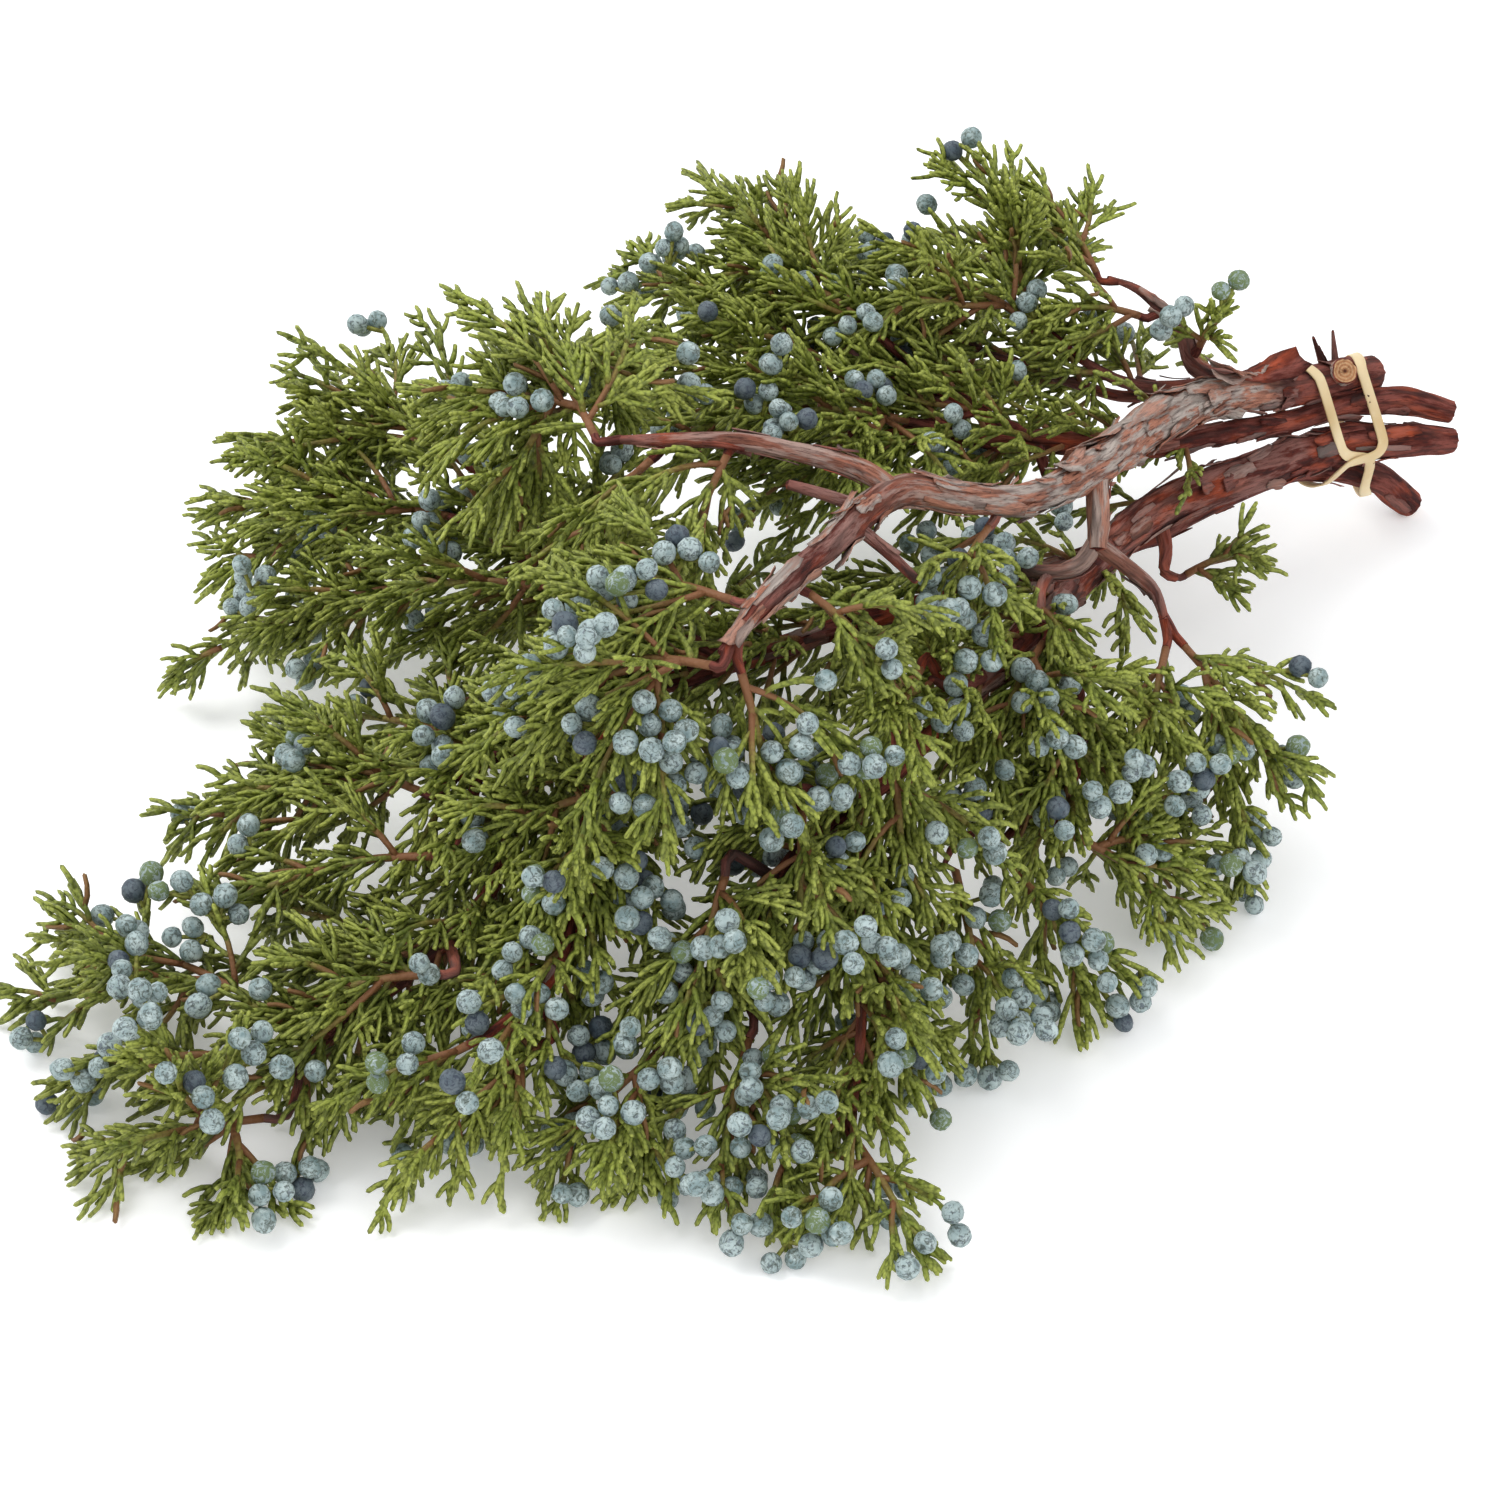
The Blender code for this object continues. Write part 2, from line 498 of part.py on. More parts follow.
def grow(spray, space, rng):
    """Twigs of one spray and those with a berry on the end. Each is added to the space as it is placed."""
    twigs, berry_twigs, slots = [], [], []
    up = np.array([0.0, 0.0, 1.0])
    for number, axis in enumerate(spray["axes"]):
        length = float(np.linalg.norm(np.diff(axis, axis=0), axis=1).sum())
        count = max(4, round(length / TWIG_SPACING))
        for k in range(count):
            share = FIRST_TWIG_SHARE + TWIG_RANGE_SHARE * k / (count - 1)
            if number == 0 or share > SIDE_AXIS_CLEAR_SHARE:
                slots.append((number, share, k))
    wanted = min(round(spray["berries"] * BERRY_SHARE), len(slots) - 1)
    bearing = set(rng.sample(range(len(slots)), wanted))
    for slot, (number, share, k) in enumerate(slots):
        core, mine = axis_names(spray, number)
        base, direction = along(spray["axes"][number], share)
        side, above = frame_for(direction, up)
        turn = TWIG_TURNS[k % len(TWIG_TURNS)] + rng.uniform(-TURN_SCATTER, TURN_SCATTER)
        lean = math.radians(rng.uniform(*TWIG_LEAN) * (1 - LEAN_FADE * share))
        size = spray["reach"] * (TWIG_SIZE_AT_ROOT - TWIG_SIZE_FADE * share)
        size *= rng.uniform(*TWIG_SIZE_SCATTER)
        outward = math.cos(turn) * side + math.sin(turn) * above
        line = clear_twig(space, [core, mine], base, direction, outward, lean, size)
        if line is not None:
            twigs.append(line)
            for p, q in zip(line, line[1:]):
                space.add(p, q, TWIG_RADIUS, mine)
        if slot in bearing:
            turn += rng.uniform(*BERRY_TURN) * rng.choice((-1, 1))
            outward = math.cos(turn) * side + math.sin(turn) * above
            size = spray["core"] + BERRY_RADIUS + rng.uniform(*BERRY_STALK_REACH)
            lean += BERRY_EXTRA_LEAN
            line = clear_berry(space, core, [core, mine], base, direction, outward, lean, size)
            if line is not None:
                berry_twigs.append(line)
                space.add(line[0], line[1], TWIG_RADIUS, mine)
                space.add(line[1], line[1], BERRY_RADIUS, mine)
    for number, axis in enumerate(spray["axes"]):
        core, mine = axis_names(spray, number)
        tip, direction = along(axis, 0.999)
        side, _ = frame_for(direction, up)
        base = tip - direction * TIP_TWIG_OVERLAP
        line = clear_twig(space, [core, mine], base, direction, side, TIP_TWIG_LEAN, TIP_TWIG_LENGTH)
        if line is not None:
            twigs.append(line)
            space.add(line[0], line[-1], TWIG_RADIUS, mine)
    return twigs, berry_twigs


def axis_names(spray, number):
    """Names under which the space holds the core of one axis and what grows on it."""
    return f"{spray['name']}_core_{number}", f"{spray['name']}_growth_{number}"


# Mesh making


def to_metres(point):
    return tuple((float(point[k]) - BUNCH_CENTRE[k]) * MM for k in range(3))


def tube(bm, line, radii, sides, slot=0, twist=0.0):
    """A closed tube along a polyline, with flat ends square to it."""
    line = [np.array(p, float) for p in line]
    rings, side = [], None
    for k, point in enumerate(line):
        before = unit(point - line[k - 1]) if k else unit(line[1] - point)
        after = unit(line[k + 1] - point) if k < len(line) - 1 else before
        direction = unit(before + after)
        if side is None:
            side, _ = frame_for(direction, np.array([0.0, 0.0, 1.0]))
        side = unit(side - direction * float(side @ direction))
        above = np.cross(side, direction)
        ring = []
        for j in range(sides):
            turn = twist + 2 * math.pi * j / sides
            outward = math.cos(turn) * side + math.sin(turn) * above
            ring.append(bm.verts.new(to_metres(point + radii[k] * outward)))
        rings.append(ring)
    faces = []
    for low, high in zip(rings, rings[1:]):
        for j in range(sides):
            faces.append(bm.faces.new((low[j], low[(j + 1) % sides], high[(j + 1) % sides], high[j])))
    faces.append(bm.faces.new(rings[0][::-1]))
    faces.append(bm.faces.new(rings[-1]))
    for face in faces:
        face.material_index = slot


def twig(bm, line, radius, twist):
    """A three-sided twig that ends in a short edge, so that it keeps its width to the tip."""
    rings = []
    for k, point in enumerate(line):
        direction = unit(np.array(line[min(k + 1, len(line) - 1)]) - np.array(line[max(k - 1, 0)]))
        side, above = frame_for(direction, np.array(TWIG_UP))
        turns = [twist + 2 * math.pi * j / 3 for j in range(3)]
        if k == len(line) - 1:
            turns = [twist + math.pi / 3 + math.pi, twist + math.pi / 3]
        ring = [point + radius * (math.cos(t) * side + math.sin(t) * above) for t in turns]
        rings.append([bm.verts.new(to_metres(p)) for p in ring])
    for low, high in zip(rings[:-2], rings[1:-1]):
        for j in range(3):
            bm.faces.new((low[j], low[(j + 1) % 3], high[(j + 1) % 3], high[j]))
    (a, b, c), (d, e) = rings[-2:]
    for corners in ((a, e, d), (a, b, e), (b, c, d, e), (c, a, d)):
        bm.faces.new(corners)
    bm.faces.new(rings[0][::-1])


def ball(bm, centre, place):
    """Twenty flat faces round a centre, one of them facing down before it is turned by place."""
    made = bmesh.ops.create_icosphere(bm, subdivisions=1, radius=BERRY_RADIUS * MM)
    faces = list(dict.fromkeys(face for vert in made["verts"] for face in vert.link_faces))
    down = min(faces, key=lambda face: round(face.calc_center_median().z / MM, 3))
    level = rotation_between(np.array(down.calc_center_median()[:]), np.array([0.0, 0.0, -1.0]))
    for vert in made["verts"]:
        vert.co = place @ level @ np.array(vert.co[:]) + np.array(to_metres(centre))
    for face in faces:
        face.material_index = BERRY_SLOT
    return down


def berry_on_twig(bm, base, centre):
    """A berry whose face nearest the core is drawn out into a thin three-sided stalk."""
    stalk = unit(base - centre)
    face = ball(bm, centre, rotation_between(np.array([0.0, 0.0, -1.0]), stalk))
    collar = list(face.verts)
    bm.faces.remove(face)
    middle = sum((np.array(v.co[:]) for v in collar), np.zeros(3)) / 3
    foot = np.array(to_metres(base))
    ends = [bm.verts.new(foot + unit(np.array(v.co[:]) - middle) * TWIG_RADIUS * MM) for v in collar]
    for j in range(3):
        bm.faces.new((collar[j], collar[(j + 1) % 3], ends[(j + 1) % 3], ends[j]))
    bm.faces.new(ends)


def rotation_between(a, b):
    a, b = unit(a), unit(b)
    axis, c = np.cross(a, b), float(a @ b)
    if c < -0.999999:
        return np.diag([1.0, -1.0, -1.0])
    k = np.array([[0, -axis[2], axis[1]], [axis[2], 0, -axis[0]], [-axis[1], axis[0], 0]])
    return np.eye(3) + k + k @ k / (1 + c)


def new_object(name, build, materials):
    bm = bmesh.new()
    build(bm)
    bmesh.ops.recalc_face_normals(bm, faces=bm.faces[:])
    mesh = bpy.data.meshes.new(name)
    bm.to_mesh(mesh)
    bm.free()
    for m in materials:
        mesh.materials.append(m)
    made = bpy.data.objects.new(name, mesh)
    bpy.context.scene.collection.objects.link(made)
    return made


def united(body, others, solver):
    """The union of the body and the collection, as a new mesh."""
    union = body.modifiers.new("union", "BOOLEAN")
    union.operation, union.solver = "UNION", solver
    union.operand_type, union.collection = "COLLECTION", others
    graph = bpy.context.evaluated_depsgraph_get()
    mesh = bpy.data.meshes.new_from_object(body.evaluated_get(graph))
    body.modifiers.clear()
    return mesh


def is_closed(mesh):
    uses = np.bincount(np.array([loop.edge_index for loop in mesh.loops]), minlength=len(mesh.edges))
    return len(uses) > 0 and bool((uses == 2).all())


def join(name, builds, materials):
    """One solid from many overlapping ones, the first being the body that the others are sunk in."""
    body = new_object(name, builds[0], materials)
    others = bpy.data.collections.new(name + "_pieces")
    bpy.context.scene.collection.children.link(others)
    for build in builds[1:]:
        piece = new_object(name + "_piece", build, materials)
        bpy.context.scene.collection.objects.unlink(piece)
        others.objects.link(piece)
    mesh = united(body, others, "EXACT")
    if not is_closed(mesh):
        bpy.data.meshes.remove(mesh)
        mesh = united(body, others, "MANIFOLD")
    old, body.data = body.data, mesh
    bpy.data.meshes.remove(old)
    for piece in list(others.objects):
        bpy.data.objects.remove(piece, do_unlink=True)
    bpy.data.collections.remove(others)
    clean(body)
    return body


def clean(body):
    """Keeps the largest closed shell, drops sealed hollows and loose scraps."""
    bm = bmesh.new()
    bm.from_mesh(body.data)
    bmesh.ops.triangulate(bm, faces=bm.faces[:])
    left, shells = set(bm.faces), []
    while left:
        stack, shell = [left.pop()], []
        while stack:
            face = stack.pop()
            shell.append(face)
            for edge in face.edges:
                for other in edge.link_faces:
                    if other in left:
                        left.remove(other)
                        stack.append(other)
        shells.append(shell)
    shells.sort(key=len)
    for shell in shells[:-1]:
        bmesh.ops.delete(bm, geom=shell, context="FACES")
    bmesh.ops.delete(bm, geom=[v for v in bm.verts if not v.link_faces], context="VERTS")
    sit_on_floor(bm)
    bm.to_mesh(body.data)
    bm.free()
    for polygon in body.data.polygons:
        polygon.use_smooth = True


def sit_on_floor(bm):
    """Cuts off what is below the floor and closes the cut with a flat face."""
    if min(v.co.z for v in bm.verts) > -1e-6:
        return
    everything = bm.verts[:] + bm.edges[:] + bm.faces[:]
    bmesh.ops.bisect_plane(bm, geom=everything, plane_co=(0, 0, 0), plane_no=(0, 0, 1), clear_inner=True)
    bmesh.ops.holes_fill(bm, edges=[e for e in bm.edges if e.is_boundary])
    bmesh.ops.triangulate(bm, faces=bm.faces[:])


def wood_sides(radius):
    return next(sides for limit, sides in WOOD_SIDES if radius >= limit)


def build_stem(stem, sprays, materials):
    builds = []
    for number, path in enumerate(STEMS[stem].values()):
        line, radii = [p[:3] for p in path], [p[3] for p in path]
        sides, twist = wood_sides(max(radii)), FIRST_TUBE_TURN + NEXT_TUBE_TURN * number
        builds.append(lambda bm, a=line, b=radii, c=sides, t=twist: tube(bm, a, b, c, twist=t))
    for number, spray in enumerate(sprays):
        if spray["stem"] == stem:
            line = twig_to_spray(spray)
            radii = np.linspace(spray["twig_radius"], CORE_ROOT_RADIUS, len(line))
            turn = NEXT_TWIG_TURN * number
            builds.append(lambda bm, a=line, b=radii, t=turn: tube(bm, a, b, 3, twist=t))
    return join(stem, builds, materials)


def twig_to_spray(spray):
    """The wood twig, ending square to the spray's first axis and just short of it."""
    root, start = spray["axes"][0][0], spray["twig"][0]
    direction = unit(spray["axes"][0][1] - root)
    run = min(SQUARE_END_RUN, SQUARE_END_SHARE * float(np.linalg.norm(root - start)))
    return [start, root - direction * run, root]


def build_spray(spray, twigs, berry_twigs, resting, materials, rng):
    builds = []
    first = spray["axes"][0]
    forward = unit(first[1] - first[0])
    for number, axis in enumerate(spray["axes"]):
        start = first[0] + forward * (FORK_DEPTH if number else CLEARANCE)
        inner, outer = (rng.uniform(least, 1.0) for least in CORE_THINNING)
        thinner = np.array([1.0, inner, outer, 1.0])
        radii = core_radii(spray["core"]) * thinner
        line, twist = [start, *axis[1:]], rng.uniform(0, 1.5)
        builds.append(lambda bm, a=line, b=radii, t=twist: tube(bm, a, b, CORE_SIDES, twist=t))
    for line in twigs:
        builds.append(lambda bm, a=line, t=rng.uniform(0, 2): twig(bm, a, TWIG_RADIUS, t))
    for base, centre in berry_twigs + resting:
        builds.append(lambda bm, a=base, b=centre: berry_on_twig(bm, a, b))
    return join(spray["name"], builds, materials)


# Rubber band


def stem_section(path, x):
    """Centre and radius of a stem where it crosses the plane at x, as (y, z, radius)."""
    points = sorted(path, key=lambda p: p[0])
    xs = [p[0] for p in points]
    y, z, radius = (float(np.interp(x, xs, [p[k] for p in points])) for k in (1, 2, 3))
    ahead = [float(np.interp(x + 2, xs, [p[k] for p in points])) for k in (1, 2)]
    slope = math.hypot(ahead[0] - y, ahead[1] - z) / 2
    return y, z, radius * math.sqrt(1 + slope**2)


def band_centre(turn):
    """Point on the band and its outward direction after it has been wound by the given angle."""
    wound = turn / 2
    swing = math.copysign(abs(math.sin(wound)) ** BAND_SWING_POWER, math.sin(wound))
    x = BAND_PLACE + BAND_SPREAD * swing
    angle = BAND_CROSSING_ANGLE + turn
    normal = np.array([math.cos(angle), math.sin(angle)])
    out = max(
        float(np.dot(section[:2], normal)) + section[2]
        for path in BOUND_PATHS
        for section in (stem_section(path_points(path), x + step * BAND_WIDTH) for step in BAND_TRIED_WIDTHS)
    )
    across = np.array([-normal[1], normal[0]])
    lift = BAND_LIFT * math.exp(-(((turn - 2 * math.pi) / BAND_LIFT_REACH) ** 4))
    place = normal * (out + CLEARANCE + BAND_THICKNESS / 2 + lift) + across * band_shift(x, normal, across)
    return np.array([x, place[0], place[1]]), np.array([0.0, normal[0], normal[1]])


def band_shift(x, normal, across):
    """How far round the bundle the touched stem's middle lies, so that the band turns about that stem."""
    sections = [stem_section(path_points(path), x) for path in BOUND_PATHS]
    touched = max(sections, key=lambda section: float(np.dot(section[:2], normal)) + section[2])
    return float(np.dot(touched[:2], across))


def build_band(bm):
    turns = [4 * math.pi * k / BAND_STEPS for k in range(BAND_STEPS)]
    centres = [band_centre(turn) for turn in turns]
    rings = []
    for k, (point, normal) in enumerate(centres):
        ahead = centres[(k + 1) % BAND_STEPS][0] - centres[k - 1][0]
        tangent = unit(ahead)
        across = unit(np.cross(tangent, normal))
        outward = np.cross(across, tangent)
        ring = []
        for a, b in ((-1, -1), (1, -1), (1, 1), (-1, 1)):
            corner = point + a * across * BAND_WIDTH / 2 + b * outward * BAND_THICKNESS / 2
            ring.append(bm.verts.new(to_metres(corner)))
        rings.append(ring)
    for k in range(BAND_STEPS):
        low, high = rings[k], rings[(k + 1) % BAND_STEPS]
        for j in range(4):
            bm.faces.new((low[j], low[(j + 1) % 4], high[(j + 1) % 4], high[j]))


def main():
    for old in list(bpy.data.objects):
        bpy.data.objects.remove(old, do_unlink=True)
    rng = random.Random(SEED)
    bark = material("bark", BARK, 0.85)
    red_bark = material("red_bark", BARK_RED, 0.75)
    leaf = material("scale_leaf", LEAF, 0.6)
    berry_skin = material("berry", BERRY, 0.55)
    latex = material("latex", BAND, 0.5)

    sprays = lay_out()
    relax(sprays)
    space = Space()
    for stem, paths in STEMS.items():
        for path in paths.values():
            for a, b in zip(path, path[1:]):
                space.add(a[:3], b[:3], max(a[3], b[3]), stem)
    for spray in sprays:
        line = twig_to_spray(spray)
        space.add(line[0], line[1], spray["twig_radius"], spray["stem"])
        radii = core_radii(spray["core"])
        for number, axis in enumerate(spray["axes"]):
            for k in range(CORE_SPANS):
                space.add(axis[k], axis[k + 1], max(radii[k], radii[k + 1]), axis_names(spray, number)[0])
    resting = {}
    by_name = {spray["name"]: spray for spray in sprays}
    for name, number, share in RESTING_BERRIES:
        base, _ = along(by_name[name]["axes"][number], share)
        centre = np.array([base[0], base[1], BERRY_RADIUS * INSIDE_SHARE])
        resting.setdefault(name, []).append((base, centre))
        space.add(centre, centre, BERRY_RADIUS, axis_names(by_name[name], number)[1])
    grown = [(spray, *grow(spray, space, rng)) for spray in sprays]
    for spray, twigs, berry_twigs in grown:
        build_spray(spray, twigs, berry_twigs, resting.get(spray["name"], []), [leaf, berry_skin], rng)
    for stem in STEMS:
        bark_kind = red_bark if stem in ("middle_stem", "lower_stem", "short_stem") else bark
        build_stem(stem, sprays, [bark_kind])
    new_object("rubber_band", build_band, [latex])


if __name__ == "__main__":
    main()
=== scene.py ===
"""Looks of the juniper bunch: full foliage, berries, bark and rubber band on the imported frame."""

import math

import bpy
import numpy as np
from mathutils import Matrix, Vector, kdtree


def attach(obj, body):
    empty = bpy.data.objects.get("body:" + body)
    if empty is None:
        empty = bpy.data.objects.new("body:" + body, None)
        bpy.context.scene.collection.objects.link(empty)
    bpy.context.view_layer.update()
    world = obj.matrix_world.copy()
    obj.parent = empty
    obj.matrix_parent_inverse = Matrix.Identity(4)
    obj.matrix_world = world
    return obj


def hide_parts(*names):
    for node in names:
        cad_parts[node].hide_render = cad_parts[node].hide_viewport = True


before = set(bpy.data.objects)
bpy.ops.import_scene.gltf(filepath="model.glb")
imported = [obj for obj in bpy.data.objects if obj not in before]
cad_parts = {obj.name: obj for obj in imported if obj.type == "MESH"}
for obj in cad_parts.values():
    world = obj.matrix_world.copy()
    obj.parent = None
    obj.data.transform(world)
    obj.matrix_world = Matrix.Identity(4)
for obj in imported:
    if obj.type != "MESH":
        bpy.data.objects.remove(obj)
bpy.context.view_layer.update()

# Sizes are in millimetres in the photo's layout and are turned into the frame's metres when a mesh is made.
MM = 0.001
BUNCH_CENTRE = np.array((21.0, 35.0, 0.0))
SEED = 1811
UP = np.array([0.0, 0.0, 1.0])

# Layout values, as in the solids
CORE_ROOT_RADIUS = 1.3
CORE_TIP_RADIUS = 1.1
CORE_SPANS = 3
CORE_WAIST = 0.9
CORE_FLOOR_GAP = 0.5
FLOOR_GAP = 0.4
INNER_PULL = 0.02
TIP_PULL = 0.2
RELAX_ROUNDS = 70
PATH_SPANS = 12
TWIG_LEAVING_SHARE = 0.7
TWIG_BEND_SHARE = 0.35
TWIG_TO_WOOD_RADIUS = 0.8
WOOD_TWIG_RADIUS = 2.0
WOOD_TWIG_RUN = 22.0
CLEARED_TWIG_RADIUS = 1.6
CLEARED_GAP = 1.2
AXIS_ARCH = 0.16
SQUARE_END_RUN = 8.0
SQUARE_END_SHARE = 0.4

# Foliage
TWIG_RADIUS = 0.95
FLOOR_CLEARANCE = 0.15
FLOOR_BEND_DEPTH = 4
TOP_BEND = 170.0
TOP_BEND_DEPTH = 12
FULL_TURN = 6.3
SPIRAL_STEP = 2.4
PLACE_SCATTER = (0.2, 0.8)
SIZE_SCATTER = (0.72, 1.15)
FAN_SCATTER = 0.25
PATH_POINTS = 61
LINE_POINTS = 13
LINE_MIDDLE = 6
SIDE_AXIS_SIZE = 1.85
SIDE_AXIS_FADE = 0.84
SHOOT_FADE = 0.3
AXIS_LATERAL_SIZE = 0.85
SIDE_LATERAL_SIZE = 0.74
LATERAL_FADE = 0.66

# Twigs as tubes: number of sides, radius at the root and at the tip
AXIS_TUBE = (6, 1.55, 0.9)
SIDE_AXIS_TUBE = (5, 1.2, 0.8)
LATERAL_TUBE = (4, 1.12, 1.0)
TWIGLET_TUBE = (3, 1.16, 1.16 * 0.93)
TIPLET_TUBE = (3, 1.08, 1.08 * 0.93)
# Tones of the twigs: painted shade darkens those deep in the bunch and painted light lightens those at its
# outside, with random tone by spray and by twig on top.
DEEP_PAINTED_SHADE_TONE = 0.14
EXPOSED_PAINTED_LIGHT_RISE = 0.46
SPRAY_SHADE = 0.07
TWIG_SHADE = 0.14
SMOOTH_STEP = 4.0
DEAD_SHARE = 0.018
BROWN_SHARE = 0.6
INNER_SHOOT_ARCH = 8

# The line through the middle of the bunch, as places along it with their y and with their height
MIDDLE_LINE = ((-250, -100, 100, 300), (-5, 30, 40, 75))
MIDDLE_HEIGHT = ((-250, 0, 300), (10, 35, 50))
MIDDLE_PULL = 0.92
OUTWARD_WEIGHTS = (0.6, 0.8, 1.7)
EXPOSED_FROM = (18, 80)

# Berries
BERRY_RADIUS = 4.0
BERRY_SIZES = (0.88, 1.1)
BERRY_FACTOR = 2.4
BERRY_TRIES = 20
BERRY_TOP = 181.0
BERRY_LEFT = -286.0
BERRY_REACH = 14
BERRY_STALK = (1.0, 4.5)
STALK_RADIUS = 0.8
BERRY_OUTWARD = 1.1
BERRY_AHEAD = 0.6
BERRY_SCATTER = 0.4
BERRY_DROOP = 0.1
BERRY_OVERLAP = 0.25
CLUSTER_SIZES = (0, 7)
CLUSTER_OUTWARD = 0.35
CLUSTER_TRY_COST = 0.25
CLUSTER_BERRY_COST = 0.75
CLUSTER_GAPS = (0.99, 1.12)
BERRY_KINDS = (0.0, 0.5, 1.0)
BERRY_KIND_SHARES = (0.84, 0.09, 0.07)

# Branches that carry leafy shoots: (path, first and last share of its length, length of its shoots)
LEAFY_BRANCHES = (
    ("front_main", 0.15, 1.0, 54), ("front_tip", 0.1, 1.0, 48), ("front_left", 0.1, 1.0, 52),
    ("low_left", 0.2, 1.0, 52), ("mid_left", 0.0, 1.0, 52), ("left_long", 0.1, 1.0, 56),
    ("short_main", 0.5, 1.0, 54), ("lower_main", 0.62, 1.0, 46), ("lower_end", 0.2, 1.0, 38),
    ("right_low", 0.1, 1.0, 50), ("middle_main", 0.55, 1.0, 58), ("middle_top", 0.2, 1.0, 44),
    ("back_low", 0.35, 1.0, 36), ("back_left", 0.5, 1.0, 30), ("two_way_down", 0.4, 1.0, 30),
)

# Single shoots in the inner spaces between the branches: (path, share of its length, tip)
INNER_SHOOTS = (
    ("low_left", 0.7, (-208, 30, 24)), ("low_left", 0.6, (-205, 72, 26)),
    ("low_left", 0.8, (-168, -34, 24)), ("low_left", 0.85, (-225, 8, 34)),
    ("right_low", 1.0, (40, -86, 40)), ("right_low", 0.8, (64, -66, 26)),
    ("right_low", 0.9, (42, -48, 46)), ("left_long", 0.5, (-96, 132, 42)),
    ("left_long", 0.35, (-76, 124, 52)), ("left_long", 0.6, (-108, 140, 34)),
    ("middle_main", 0.52, (138, 80, 62)), ("middle_main", 0.6, (128, 70, 62)),
    ("middle_main", 0.85, (98, 88, 60)), ("lower_main", 0.5, (150, 40, 40)),
    ("front_tip", 0.75, (-64, -104, 16)), ("front_main", 0.95, (-104, -94, 12)),
    ("front_left", 0.85, (-112, -62, 18)), ("front_left", 1.0, (-128, -82, 12)),
    ("front_left", 1.0, (-166, -102, 7)), ("front_main", 0.8, (-84, -70, 24)),
    ("back_left", 0.5, (228, 140, 76)), ("back_main", 0.55, (244, 150, 64)),
    ("front_tip", 1.0, (-74, -166, 10)), ("lower_main", 0.45, (152, 80, 46)),
    ("front_main", 0.3, (46, -50, 26)), ("middle_top", 0.6, (62, 122, 46)),
    ("left_long", 0.15, (62, 112, 48)),
)

# Rubber band, as in the solids
CLEARANCE = 0.35
BAND_WIDTH = 4.4
BAND_THICKNESS = 0.9
BAND_PLACE = 286.0
BAND_SPREAD = 16.0
BAND_STEPS = 176
BAND_CROSSING_ANGLE = math.radians(187)
BAND_LIFT = 1.25
BAND_LIFT_REACH = 0.55
BAND_SWING_POWER = 0.4
BAND_TRIED_WIDTHS = (-0.7, 0.0, 0.7)
BAND_SMOOTHINGS = 3

# Cross section of the band from one edge over the other and back, as shares of half its width and thickness
BAND_SECTION = (
    (-1, -0.45), (-0.86, -1), (0, -1), (0.86, -1), (1, -0.45),
    (1, 0.45), (0.86, 1), (0, 1.15), (-0.86, 1), (-1, 0.45),
)
BOUND_PATHS = ("upper_main", "middle_main", "lower_main", "short_main", "back_main")

# Camera
CAMERA_AZIMUTH = math.radians(-29)
CAMERA_ELEVATION = math.radians(40)
CAMERA_DISTANCE = 1360.0
CAMERA_TARGET = np.array((-15.0, 5.0, 60.0))
CAMERA_LENS = 94.08
SENSOR_WIDTH = 36.0

# Light. Each lamp is (name, place in metres, side in metres, watts).
WORLD_COLOUR = (0.97, 0.985, 1.0)
WORLD_STRENGTH = 0.95
LAMPS = (
    ("key", (-0.9, 1.1, 2.2), 1.6, 34.0),
    ("fill", (0.6, -1.6, 1.4), 1.8, 8.0),
)
LAMP_TARGET = (0.0, 0.0, 0.04)


